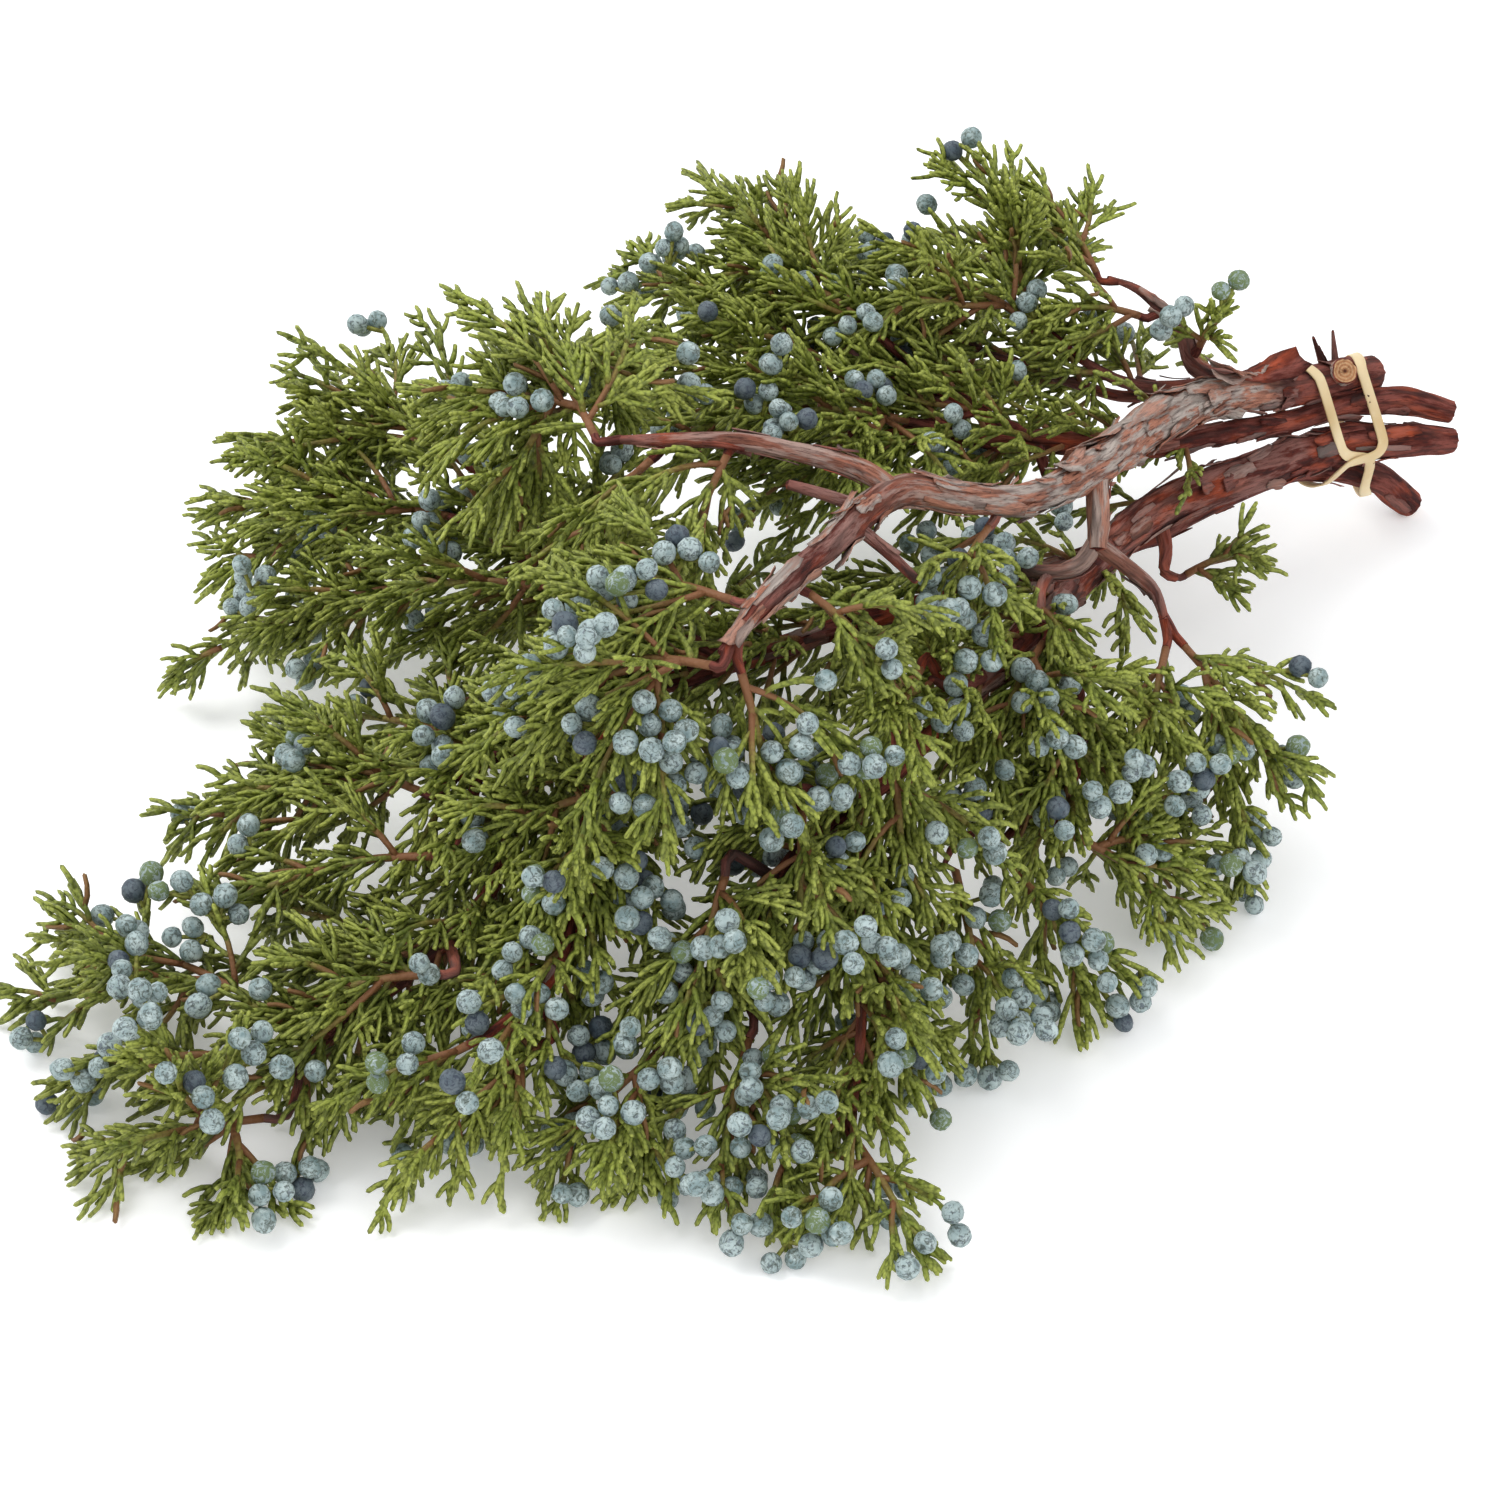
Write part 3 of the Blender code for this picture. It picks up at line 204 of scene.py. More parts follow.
# Each stem is a tree of paths, and each point on a path is (x, y, z, radius).
STEMS = {
    "upper_stem": {
        "upper_main": [
            (310, 88, 60, 6.2), (289, 85, 66, 7.0), (262, 80, 73, 7.0), (233, 72, 86, 7.0),
            (203, 61, 97, 7.0), (168, 43, 108, 7.2), (136, 22, 118, 6.5), (107, 6, 128, 5.5),
            (82, -3, 138, 5.0), (60, -5, 148, 5.0), (40, -3, 157, 5.4), (21, -11, 161, 5.0),
            (-2, -25, 164, 4.5), (-24, -37, 166, 4.0), (-41, -46, 166, 3.4), (-58, -54, 161, 2.4),
        ],
        "cut_stub": [(289, 86, 66, 4.7), (287, 77, 75, 5.0)],
        "spur_left": [(286, 87, 68, 1.8), (282, 92, 83, 0.6)],
        "spur_right": [(291, 87, 68, 1.8), (292, 93, 82, 0.6)],
        "arch": [
            (36, -5, 158, 4.0), (28, 3, 165, 3.6), (15, 12, 170, 3.3), (-5, 30, 172, 2.9),
            (-24, 51, 166, 2.5), (-36, 66, 161, 2.0),
        ],
        "dead_twig": [(21, -11, 161, 2.6), (10, -2, 165, 2.1), (0, 6, 168, 1.6)],
        "short_twig": [(12, -17, 162, 2.4), (18, -27, 156, 2.0), (25, -36, 147, 1.6)],
        "two_way": [(134, 21, 118, 4.2), (126, 7, 114, 3.9), (118, -6, 105, 3.6)],
        "two_way_left": [(120, -3, 107, 3.4), (110, -5, 100, 3.0), (99, 1, 98, 2.6), (93, 12, 97, 1.9)],
        "two_way_down": [(103, -1, 98, 2.3), (95, -6, 96, 2.1), (88, -18, 92, 1.8)],
        "two_way_right": [
            (119, -4, 106, 3.2), (127, -15, 99, 2.8), (134, -20, 90, 2.6), (136, -27, 77, 2.1),
        ],
    },
    "middle_stem": {
        "middle_main": [
            (335, 68, 45, 4.4), (318, 76, 51, 5.4), (300, 77, 56, 5.0), (285, 76.5, 59.4, 4.2),
            (262, 74, 62, 4.2), (239, 71, 68, 4.2), (214, 68, 75, 4.2), (193, 65, 80, 4.5),
            (170, 72, 84, 4.5), (147, 81, 88, 4.4), (128, 82, 94, 3.6), (113, 94, 99, 2.4),
        ],
        "middle_top": [(150, 80, 87, 3.6), (137, 89, 94, 3.0), (126, 103, 101, 2.6), (117, 113, 104, 2.0)],
        "middle_twig": [(148, 80, 88, 2.4), (145, 70, 84, 2.0), (143, 62, 80, 1.6)],
    },
    "lower_stem": {
        "lower_main": [
            (331, 60, 38, 4.4), (309, 65, 42, 6.4), (281, 69, 47, 7.0), (262, 65, 51, 7.2),
            (242, 60, 56, 7.4), (206, 52, 63, 7.5), (174, 43, 68, 7.0), (138, 24, 72, 6.4),
            (104, 0, 80, 5.4), (70, -21, 85, 4.4), (38, -38, 85, 3.2),
        ],
        "lower_end": [(60, -26, 86, 3.2), (42, -37, 95, 2.6), (29, -41, 107, 2.0)],
        "front_main": [
            (40, -37, 85, 3.2), (5, -54, 82, 2.8), (-30, -62, 76, 2.6), (-60, -75, 64, 2.4),
            (-88, -86, 48, 1.8),
        ],
        "front_tip": [(-8, -57, 80, 2.6), (-25, -85, 65, 2.1), (-40, -115, 44, 1.8), (-55, -137, 27, 1.4)],
        "right_low": [(106, 1, 80, 3.6), (99, -25, 66, 2.8), (86, -50, 56, 2.4), (66, -64, 51, 1.8)],
        "dark_side": [(180, 46, 67, 3.4), (180, 38, 55, 2.6), (179, 36, 45, 2.0), (183, 34, 42, 1.5)],
    },
    "short_stem": {
        "short_main": [
            (322, 70, 3.6, 5.4), (313, 71, 13, 5.8), (304, 72, 22, 5.8), (283, 74, 33, 5.4),
            (260, 74, 39, 5.0), (225, 70, 40, 4.8), (190, 64, 40, 4.5), (150, 60, 43, 4.3),
            (100, 58, 48, 4.1), (50, 58, 52, 3.9), (0, 55, 56, 3.7), (-50, 52, 61, 3.3),
        ],
        "left_long": [(4, 56, 56, 3.4), (-18, 92, 66, 3.0), (-35, 130, 74, 2.6), (-45, 158, 79, 2.0)],
        "mid_left": [(-46, 52, 61, 3.2), (-80, 40, 66, 2.9), (-108, 29, 73, 2.5), (-124, 23, 75, 2.0)],
        "low_left": [
            (-74, 42, 65, 3.0), (-100, 12, 56, 2.8), (-130, -12, 48, 2.6), (-165, -22, 38, 2.3),
            (-195, -26, 29, 2.0), (-210, -31, 22, 1.6),
        ],
        "front_left": [
            (-40, 54, 60, 3.1), (-68, 24, 64, 2.7), (-88, -10, 72, 2.4), (-105, -40, 66, 2.2),
            (-125, -60, 56, 2.0), (-145, -68, 50, 1.6),
        ],
    },
    "back_stem": {
        "back_main": [
            (304, 99, 49, 4.0), (292, 93, 54, 4.2), (262, 92, 65, 4.2), (240, 88, 80, 3.9),
            (223, 87, 92, 3.3), (220, 92, 104, 2.8), (216, 99, 112, 2.4), (210, 110, 118, 2.0),
            (203, 119, 120, 1.6),
        ],
        "back_left": [
            (242, 89, 78, 3.0), (215, 93, 82, 2.4), (197, 97, 88, 2.2), (187, 107, 94, 2.0),
            (180, 120, 98, 1.7),
        ],
        "back_low": [
            (226, 91, 80, 2.6), (203, 99, 78, 2.2), (184, 107, 85, 2.0), (171, 115, 91, 1.8),
            (161, 127, 95, 1.5),
        ],
    },
}

# Each spray is (name, path it grows from, start, tips of its axes, twigs' reach, berries, core radius).
SPRAYS = [
    ("spray_back_1", "back_main", (200, 123, 121), [(198, 152, 136)], 24, 0, 2.0),
    ("spray_back_2", "back_main", (206, 102, 112), [(178, 112, 118)], 27, 0, 3.0),
    ("spray_back_3", "back_main", (222, 84, 104), [(223, 74, 122)], 12, 2, 2.5),
    ("spray_back_4", "back_left", (176, 128, 104), [(174, 168, 150), (190, 168, 122)], 32, 6, 6.0),
    ("spray_back_5", "back_left", (168, 120, 112), [(125, 160, 130), (105, 135, 120)], 32, 8, 6.5),
    ("spray_back_6", "back_low", (152, 134, 98), [(130, 172, 98), (112, 148, 88)], 32, 3, 7.0),
    ("spray_hidden_1", "back_low", (160, 132, 84), [(135, 175, 50), (165, 165, 60)], 29, 3, 7.0),
    ("spray_top_1", "middle_top", (104, 146, 108), [(98, 240, 126), (112, 222, 115)], 32, 0, 3.0),
    ("spray_top_2", "middle_top", (112, 132, 114), [(82, 208, 114)], 32, 3, 7.0),
    ("spray_top_3", "middle_top", (98, 130, 101), [(55, 240, 100)], 32, 8, 7.0),
    ("spray_top_4", "middle_top", (88, 116, 92), [(42, 205, 88), (18, 152, 84)], 32, 7, 7.0),
    ("spray_top_5", "middle_main", (104, 100, 100), [(50, 115, 110), (68, 82, 102)], 32, 9, 6.5),
    ("spray_hidden_2", "middle_main", (100, 112, 84), [(62, 172, 42), (92, 165, 45)], 29, 4, 7.0),
    (
        "spray_arch_1", "arch", (-39, 70, 161),
        [(-20, 172, 136), (-55, 165, 118), (-68, 100, 122), (14, 140, 130)], 34, 6, 6.5,
    ),
    ("spray_arch_2", "arch", (-10, 30, 168), [(-34, 16, 140)], 32, 0, 3.0),
    ("spray_arch_3", "arch", (-28, 50, 160), [(-60, 50, 130)], 34, 0, 6.0),
    ("spray_upper_1", "upper_main", (-45, -38, 166), [(-72, 20, 142)], 32, 2, 6.0),
    (
        "spray_upper_2", "upper_main", (-62, -55, 158),
        [(-92, 0, 125), (-118, 12, 96), (-85, -55, 116)], 33, 24, 7.0,
    ),
    ("spray_upper_3", "upper_main", (-52, -56, 152), [(-50, -72, 110)], 32, 9, 7.0),
    ("spray_upper_4", "upper_main", (-18, -40, 160), [(-5, -62, 143)], 24, 1, 4.5),
    ("spray_upper_5", "upper_main", (68, -12, 137), [(40, -32, 130)], 27, 5, 4.5),
    ("spray_left_1", "left_long", (-42, 170, 86), [(-68, 262, 72), (-95, 252, 60)], 32, 4, 6.5),
    ("spray_left_2", "left_long", (-56, 158, 76), [(-118, 240, 46), (-126, 222, 30)], 32, 9, 6.5),
    ("spray_left_3", "left_long", (-62, 135, 64), [(-122, 170, 35), (-155, 195, 15)], 27, 7, 6.5),
    ("spray_left_4", "left_long", (-52, 90, 88), [(-98, 130, 72), (-10, 112, 106)], 32, 2, 7.0),
    (
        "spray_hidden_3", "left_long", (-30, 138, 58),
        [(-10, 190, 34), (-50, 205, 40), (14, 140, 36)], 29, 5, 7.0,
    ),
    ("spray_midleft_1", "mid_left", (-130, 24, 74), [(-162, 95, 45), (-192, 98, 25)], 32, 3, 6.5),
    ("spray_midleft_2", "mid_left", (-98, 55, 60), [(-138, 122, 38), (-76, 112, 34)], 29, 1, 7.0),
    ("spray_midleft_3", "mid_left", (-138, 2, 66), [(-192, 45, 35)], 32, 1, 7.0),
    ("spray_lowleft_1", "low_left", (-205, 2, 31), [(-250, 85, 12), (-272, 60, 7)], 27, 9, 5.5),
    ("spray_lowleft_2", "low_left", (-216, -14, 24), [(-270, 15, 11)], 27, 8, 6.0),
    (
        "spray_lowleft_3", "low_left", (-220, -36, 16),
        [(-282, -20, 6), (-240, -57, 6), (-250, -26, 48)], 24, 7, 3.0,
    ),
    ("spray_lowleft_4", "low_left", (-158, -38, 54), [(-200, -14, 36)], 32, 1, 6.5),
    ("spray_lowleft_5", "front_left", (-158, -66, 46), [(-178, -52, 18)], 27, 3, 6.5),
    ("spray_front_1", "front_left", (-84, -30, 97), [(-132, -12, 74), (-112, -52, 78)], 32, 15, 7.0),
    ("spray_front_2", "front_left", (-112, -52, 58), [(-150, -40, 42)], 29, 8, 7.0),
    ("spray_front_3", "front_left", (-136, -74, 42), [(-165, -82, 24), (-202, -84, 6)], 18, 6, 5.5),
    ("spray_front_4", "front_main", (-104, -92, 38), [(-150, -102, 12), (-124, -116, 10)], 27, 10, 6.5),
    ("spray_front_5", "front_main", (-76, -104, 42), [(-106, -136, 12), (-84, -148, 10)], 27, 14, 6.5),
    ("spray_front_6", "front_tip", (-58, -144, 21), [(-60, -192, 7), (-94, -160, 8)], 18, 7, 3.5),
    ("spray_front_7", "front_main", (-68, -74, 86), [(-92, -96, 60)], 32, 9, 7.0),
    ("spray_front_8", "front_main", (-36, -68, 96), [(-56, -102, 64)], 32, 9, 7.0),
    ("spray_front_9", "front_main", (2, -62, 98), [(-10, -92, 62)], 32, 9, 7.0),
    ("spray_front_10", "front_tip", (-30, -108, 56), [(-44, -132, 22)], 27, 6, 6.5),
    ("spray_front_11", "front_tip", (-18, -84, 52), [(-18, -118, 22)], 27, 6, 6.5),
    ("spray_right_1", "lower_end", (24, -42, 114), [(-12, -72, 100)], 32, 7, 6.5),
    ("spray_right_2", "two_way_down", (85, -24, 89), [(40, -58, 76), (66, -74, 66)], 32, 12, 6.5),
    ("spray_right_3", "two_way_right", (132, -32, 74), [(96, -72, 56)], 32, 6, 7.0),
    ("spray_right_4", "two_way_right", (140, -32, 72), [(150, -86, 36), (130, -96, 10)], 27, 6, 4.5),
    ("spray_right_5", "right_low", (68, -74, 46), [(102, -104, 12), (110, -84, 28)], 27, 10, 6.0),
    ("spray_right_6", "right_low", (42, -76, 44), [(52, -118, 10)], 27, 7, 6.0),
    ("spray_right_7", "right_low", (22, -72, 48), [(6, -122, 12)], 27, 7, 6.0),
    ("spray_right_8", "dark_side", (187, 33, 43), [(208, 22, 54)], 18, 0, 1.3),
]


# Small helpers


def unit(v):
    return v / max(float(np.linalg.norm(v)), 1e-9)


def frame_for(direction, up):
    """Two directions square to the given one, the second as near to up as it can be."""
    side = np.cross(direction, up)
    if np.linalg.norm(side) < 1e-3:
        side = np.cross(direction, np.array([1.0, 0.0, 0.0]))
    side = unit(side)
    return side, np.cross(side, direction)


def bezier(start, middle, end, spans):
    """Points on a curve that leaves the start towards the middle and comes to the end."""
    t = np.linspace(0.0, 1.0, spans + 1)[:, None]
    return (1 - t) ** 2 * start + 2 * t * (1 - t) * middle + t**2 * end


# Clearance between segments of different nodes


def closest(p, q, others_p, others_q):
    """Closest points between the segment p-q and every other segment, all arrays broadcast."""
    d1, d2, r = q - p, others_q - others_p, p - others_p
    a = np.maximum((d1 * d1).sum(-1), 1e-9)
    e = np.maximum((d2 * d2).sum(-1), 1e-9)
    b, c, f = (d1 * d2).sum(-1), (d1 * r).sum(-1), (d2 * r).sum(-1)
    spread = a * e - b * b
    s = np.where(spread > 1e-9, np.clip((b * f - c * e) / np.maximum(spread, 1e-9), 0, 1), 0.0)
    t = np.clip((b * s + f) / e, 0, 1)
    s = np.clip((b * t - c) / a, 0, 1)
    return s, t, p + s[..., None] * d1, others_p + t[..., None] * d2


# Layout: the wood twig and the cores of each spray, moved apart until they are clear


def path_points(name):
    for paths in STEMS.values():
        if name in paths:
            return np.array(paths[name], float)
    raise KeyError(name)


def stem_of(name):
    for stem, paths in STEMS.items():
        if name in paths:
            return stem
    raise KeyError(name)


def leaving_point(path, start):
    """Where on a path the twig to a spray leaves it: a little nearer the cut end than the closest place."""
    spans = [np.linspace(a, b, PATH_SPANS, endpoint=False) for a, b in zip(path, path[1:])]
    dense = np.concatenate([*spans, path[-1:]])
    away = np.linalg.norm(dense[:, :3] - start, axis=1)
    nearest = int(away.argmin())
    reach = min(away[nearest] * TWIG_LEAVING_SHARE, WOOD_TWIG_RUN)
    step = nearest
    while step > 0 and np.linalg.norm(dense[step, :3] - dense[nearest, :3]) < reach:
        step -= 1
    return dense[step], unit(dense[min(step + 2, len(dense) - 1), :3] - dense[max(step - 2, 0), :3])


def lay_out():
    """The polylines of every spray before they are moved: one wood twig and one core for each tip."""
    sprays = []
    for name, path, start, tips, reach, berries, core in SPRAYS:
        start = np.array(start, float)
        point, forward = leaving_point(path_points(path), start)
        bend = point[:3] + forward * TWIG_BEND_SHARE * np.linalg.norm(start - point[:3])
        twig = bezier(point[:3], bend, start, 3)
        axes = []
        for tip in tips:
            tip = np.array(tip, float)
            length = float(np.linalg.norm(tip - start))
            middle = (start + tip) / 2 + np.array([0.0, 0.0, AXIS_ARCH * length])
            axes.append(bezier(start, middle, tip, CORE_SPANS))
        sprays.append(
            {
                "name": name, "stem": stem_of(path), "twig": twig, "axes": axes,
                "twig_radius": min(point[3] * TWIG_TO_WOOD_RADIUS, WOOD_TWIG_RADIUS),
                "reach": reach, "berries": berries, "core": core,
            }
        )
    return sprays


def core_radii(core):
    """Radius of a core at each of its points."""
    shape = np.array([CORE_ROOT_RADIUS / core, 1.0, CORE_WAIST, CORE_TIP_RADIUS / core])
    return np.minimum(shape, 1.0) * core


def relax(sprays):
    """Moves cores and wood twigs apart. Stems, starts of twigs and starts of cores stay."""
    points, owner, radius, fixed, links, group, pull = [], [], [], [], [], [], []

    def add_line(line, radii, name, still, kind):
        first = len(points)
        for k, point in enumerate(line):
            points.append(np.array(point, float))
            fixed.append(still(k))
            radius.append(radii[k])
            pull.append(TIP_PULL if k == len(line) - 1 else INNER_PULL)
        for k in range(len(line) - 1):
            links.append((first + k, first + k + 1))
            owner.append(name)
            group.append(kind)
        return first

    for stem, paths in STEMS.items():
        for path in paths.values():
            add_line([p[:3] for p in path], [p[3] for p in path], stem, lambda k: True, -1)
    places = []
    for number, spray in enumerate(sprays):
        wood = [CLEARED_TWIG_RADIUS] * 4
        twig_at = add_line(spray["twig"], wood, spray["stem"], lambda k: k in (0, 3), number)
        axes_at = [
            add_line(axis, core_radii(spray["core"]), spray["name"], lambda k: k == 0, number)
            for axis in spray["axes"]
        ]
        places.append((twig_at, axes_at))
    points = np.array(points)
    radius, fixed, pull = np.array(radius), np.array(fixed), np.array(pull)[:, None]
    links = np.array(links)
    names = {name: k for k, name in enumerate(dict.fromkeys(owner))}
    owner = np.array([names[name] for name in owner])
    group = np.array(group)
    i0, i1 = links[:, 0], links[:, 1]
    link_radius = np.maximum(radius[i0], radius[i1])
    moving = ~(fixed[i0] & fixed[i1])
    together = (group[:, None] == group[None, :]) & (group[:, None] >= 0)
    apart = (owner[:, None] != owner[None, :]) & ~together
    apart &= moving[:, None] | moving[None, :]
    upper = np.triu(np.ones_like(apart), 1).astype(bool)
    first, second = np.nonzero(apart & upper)
    need = link_radius[first] + link_radius[second] + CLEARED_GAP
    laid = points.copy()
    for _ in range(RELAX_ROUNDS):
        s, t, c1, c2 = closest(points[i0[first]], points[i1[first]], points[i0[second]], points[i1[second]])
        line = c1 - c2
        away = np.linalg.norm(line, axis=1)
        close = away < need
        if not close.any():
            break
        line = np.where(away[:, None] > 1e-6, line / np.maximum(away, 1e-6)[:, None], (0.0, 0.0, 1.0))
        push = ((need - away) * 0.5)[:, None] * line
        move, count = np.zeros_like(points), np.zeros(len(points))
        for which, sign, share in ((first, 1.0, s), (second, -1.0, t)):
            for ends, weight in ((i0, 1 - share), (i1, share)):
                np.add.at(move, ends[which[close]], sign * push[close] * weight[close][:, None])
                np.add.at(count, ends[which[close]], weight[close])
        step = move / np.maximum(count, 1.0)[:, None] + pull * (laid - points)
        points += np.where(fixed[:, None], 0.0, step)
        low = radius + FLOOR_GAP + CORE_FLOOR_GAP
        points[:, 2] = np.where(fixed, points[:, 2], np.maximum(points[:, 2], low))
    for spray, (twig_at, axes_at) in zip(sprays, places):
        spray["twig"] = points[twig_at : twig_at + 4]
        spray["axes"] = [points[at : at + CORE_SPANS + 1] for at in axes_at]


def twig_to_spray(spray):
    """The wood twig, ending square to the spray's first axis and just short of it."""
    root, start = spray["axes"][0][0], spray["twig"][0]
    direction = unit(spray["axes"][0][1] - root)
    run = min(SQUARE_END_RUN, SQUARE_END_SHARE * float(np.linalg.norm(root - start)))
    return [start, root - direction * run, root]


# Smooth lines


def smooth(points, step):
    """A Catmull-Rom curve through the points, read about every step. Columns past the third go along."""
    points = np.asarray(points, float)
    ends = np.vstack([2 * points[0] - points[1], points, 2 * points[-1] - points[-2]])
    pieces = []
    for a, b, c, d in zip(ends, ends[1:], ends[2:], ends[3:]):
        count = max(2, round(float(np.linalg.norm((c - b)[:3])) / step))
        t = np.linspace(0, 1, count, endpoint=False)[:, None]
        square, cube = 2 * a - 5 * b + 4 * c - d, 3 * b - a - 3 * c + d
        pieces.append(0.5 * (2 * b + (c - a) * t + square * t**2 + cube * t**3))
    return np.vstack(pieces + [points[-1:]])


def resample(line, count):
    """The same line with count points at even steps."""
    ends = np.concatenate([[0.0], np.cumsum(np.linalg.norm(np.diff(line, axis=0), axis=1))])
    at = np.linspace(0, ends[-1], count)
    return np.stack([np.interp(at, ends, line[:, k]) for k in range(line.shape[1])], axis=1)


def normalised(v):
    """Each row of an array at length one."""
    return v / np.maximum(np.linalg.norm(v, axis=-1, keepdims=True), 1e-9)


def read_lines(lines, share):
    """Points and directions at the given share of each line. lines is (n, k, 3) and share is (n,)."""
    spans = lines.shape[1] - 1
    at = np.clip(share, 0, 0.9999) * spans
    k = at.astype(int)
    n = np.arange(len(lines))
    here, there = lines[n, k], lines[n, k + 1]
    return here + (at - k)[:, None] * (there - here), normalised(there - here)


def lengths(lines):
    return np.linalg.norm(np.diff(lines, axis=1), axis=2).sum(1)


# Branching: each order of twigs grows from the one before it


def branch(parents, normals, rng, rule):
    """Twigs along each parent line. Returns their lines, fan normals, the parent's number and share."""
    long = lengths(parents)
    count = np.maximum(((rule["last"] - rule["first"]) * long / rule["spacing"]).astype(int), rule["least"])
    count = np.where(long < rule["shortest"], 0, count)
    parent = np.repeat(np.arange(len(parents)), count)
    index = np.concatenate([np.arange(c) for c in count]) if len(parent) else np.zeros(0, int)
    place = index + rng.uniform(*PLACE_SCATTER, len(parent))
    share = rule["first"] + (rule["last"] - rule["first"]) * place / count[parent]
    base, ahead = read_lines(parents[parent], share)
    side = normalised(np.cross(normals[parent], ahead))
    if rule["spiral"]:
        roll = index * SPIRAL_STEP + rng.uniform(-0.4, 0.4, len(parent))
        roll = roll + rng.uniform(0, FULL_TURN, len(parents))[parent]
    else:
        roll = np.where(index % 2 == 0, 0.0, np.pi) + rng.normal(0, rule["roll"], len(parent))
    above = np.cross(ahead, side)
    side = np.cos(roll)[:, None] * side + np.sin(roll)[:, None] * above
    lean = np.radians(rng.uniform(*rule["lean"], len(parent))) * (1 - rule["close"] * share)
    out = np.cos(lean)[:, None] * ahead + np.sin(lean)[:, None] * side
    bend = lean * rule["straighten"]
    end = np.cos(bend)[:, None] * ahead + np.sin(bend)[:, None] * side - rule["droop"] * UP
    size = rule["length"](share, long[parent]) * rng.uniform(*SIZE_SCATTER, len(parent))
    t = (np.arange(rule["points"] - 1) / max(rule["points"] - 2, 1))[None, :, None]
    steps = normalised(out[:, None] * (1 - t) + normalised(end)[:, None] * t)
    steps = steps * (size / (rule["points"] - 1))[:, None, None]
    lines = np.concatenate([base[:, None], base[:, None] + np.cumsum(steps, axis=1)], axis=1)
    lift_off_floor(lines)
    normal = normals[parent] + rng.normal(0, FAN_SCATTER, (len(parent), 3))
    overall = normalised(lines[:, -1] - lines[:, 0])
    normal = normalised(normal - overall * (normal * overall).sum(1)[:, None])
    return lines, normal, parent, share


def lift_off_floor(lines):
    """Lays what would sink into the floor along it, and bends down what would stand too high."""
    low = TWIG_RADIUS + FLOOR_CLEARANCE
    soft = FLOOR_BEND_DEPTH
    z = lines[..., 2]
    z = np.where(z < low + soft, low + soft * np.exp(np.minimum((z - low - soft) / soft, 0)), z)
    over = np.maximum(z - TOP_BEND, 0)
    lines[..., 2] = np.where(over > 0, TOP_BEND + TOP_BEND_DEPTH * (1 - np.exp(-over / TOP_BEND_DEPTH)), z)


def out_of_middle(points):
    """How far each point lies from a line through the bunch's middle, its height counted for more."""
    across = np.interp(points[:, 0], *MIDDLE_LINE)
    height = np.interp(points[:, 0], *MIDDLE_HEIGHT)
    middle = np.stack([points[:, 0] * MIDDLE_PULL, across, height], axis=1)
    return (points - middle) * OUTWARD_WEIGHTS


def outward_at(points):
    """The way out of the bunch."""
    return normalised(out_of_middle(points))


def exposed(points):
    """0 for points deep in the bunch, 1 for points at its outside."""
    deep, outside = EXPOSED_FROM
    return np.clip((np.linalg.norm(out_of_middle(points), axis=1) - deep) / (outside - deep), 0, 1)


def fading(size, fade):
    """Length of a twig that gets shorter towards its parent's tip."""
    return lambda share, long: size * (1 - fade * share)


def in_proportion(least, part, fade):
    """Length of a twig by its parent's length, shorter towards the parent's tip."""
    return lambda share, long: least + part * long * (1 - fade * share)


# Rules of growth. A rule's twigs stand between two shares of the parent, at a spacing, at least so many,
# on parents no shorter than shortest. They lean away by lean degrees, less towards the parent's tip by
# close, then straighten and droop. points is the number of points of each line.
SIDE_AXIS = {
    "first": 0.04, "last": 0.84, "spacing": 11.0, "least": 4, "shortest": 16, "spiral": True, "roll": 0.0,
    "lean": (40, 74), "close": 0.35, "straighten": 0.45, "droop": 0.18, "points": 9,
}
SHOOT = {
    "first": 0.02, "last": 1.0, "spacing": 5.8, "least": 3, "shortest": 10, "spiral": True, "roll": 0.0,
    "lean": (42, 72), "close": 0.2, "straighten": 0.4, "droop": 0.12, "points": 9,
}
LATERAL = {
    "first": 0.05, "last": 1.0, "spacing": 5.6, "least": 4, "shortest": 6, "spiral": True, "roll": 0.0,
    "lean": (36, 60), "close": 0.45, "straighten": 0.45, "droop": 0.2, "points": 6,
}
TWIGLET = {
    "first": 0.10, "last": 0.99, "spacing": 2.9, "least": 3, "shortest": 6, "spiral": False, "roll": 0.45,
    "lean": (32, 46), "close": 0.15, "straighten": 0.35, "droop": 0.16, "points": 4,
    "length": in_proportion(5.6, 0.56, 0.7),
}
TIPLET = {
    "first": 0.3, "last": 0.8, "spacing": 9.0, "least": 1, "shortest": 12.5, "spiral": False, "roll": 0.6,
    "lean": (32, 46), "close": 0.1, "straighten": 0.6, "droop": 0.0, "points": 3,
    "length": in_proportion(2.4, 0.26, 0.5),
}


# Mesh making


def to_metres(points):
    """From the photo's layout to the frame."""
    return (np.asarray(points, float) - BUNCH_CENTRE) * MM


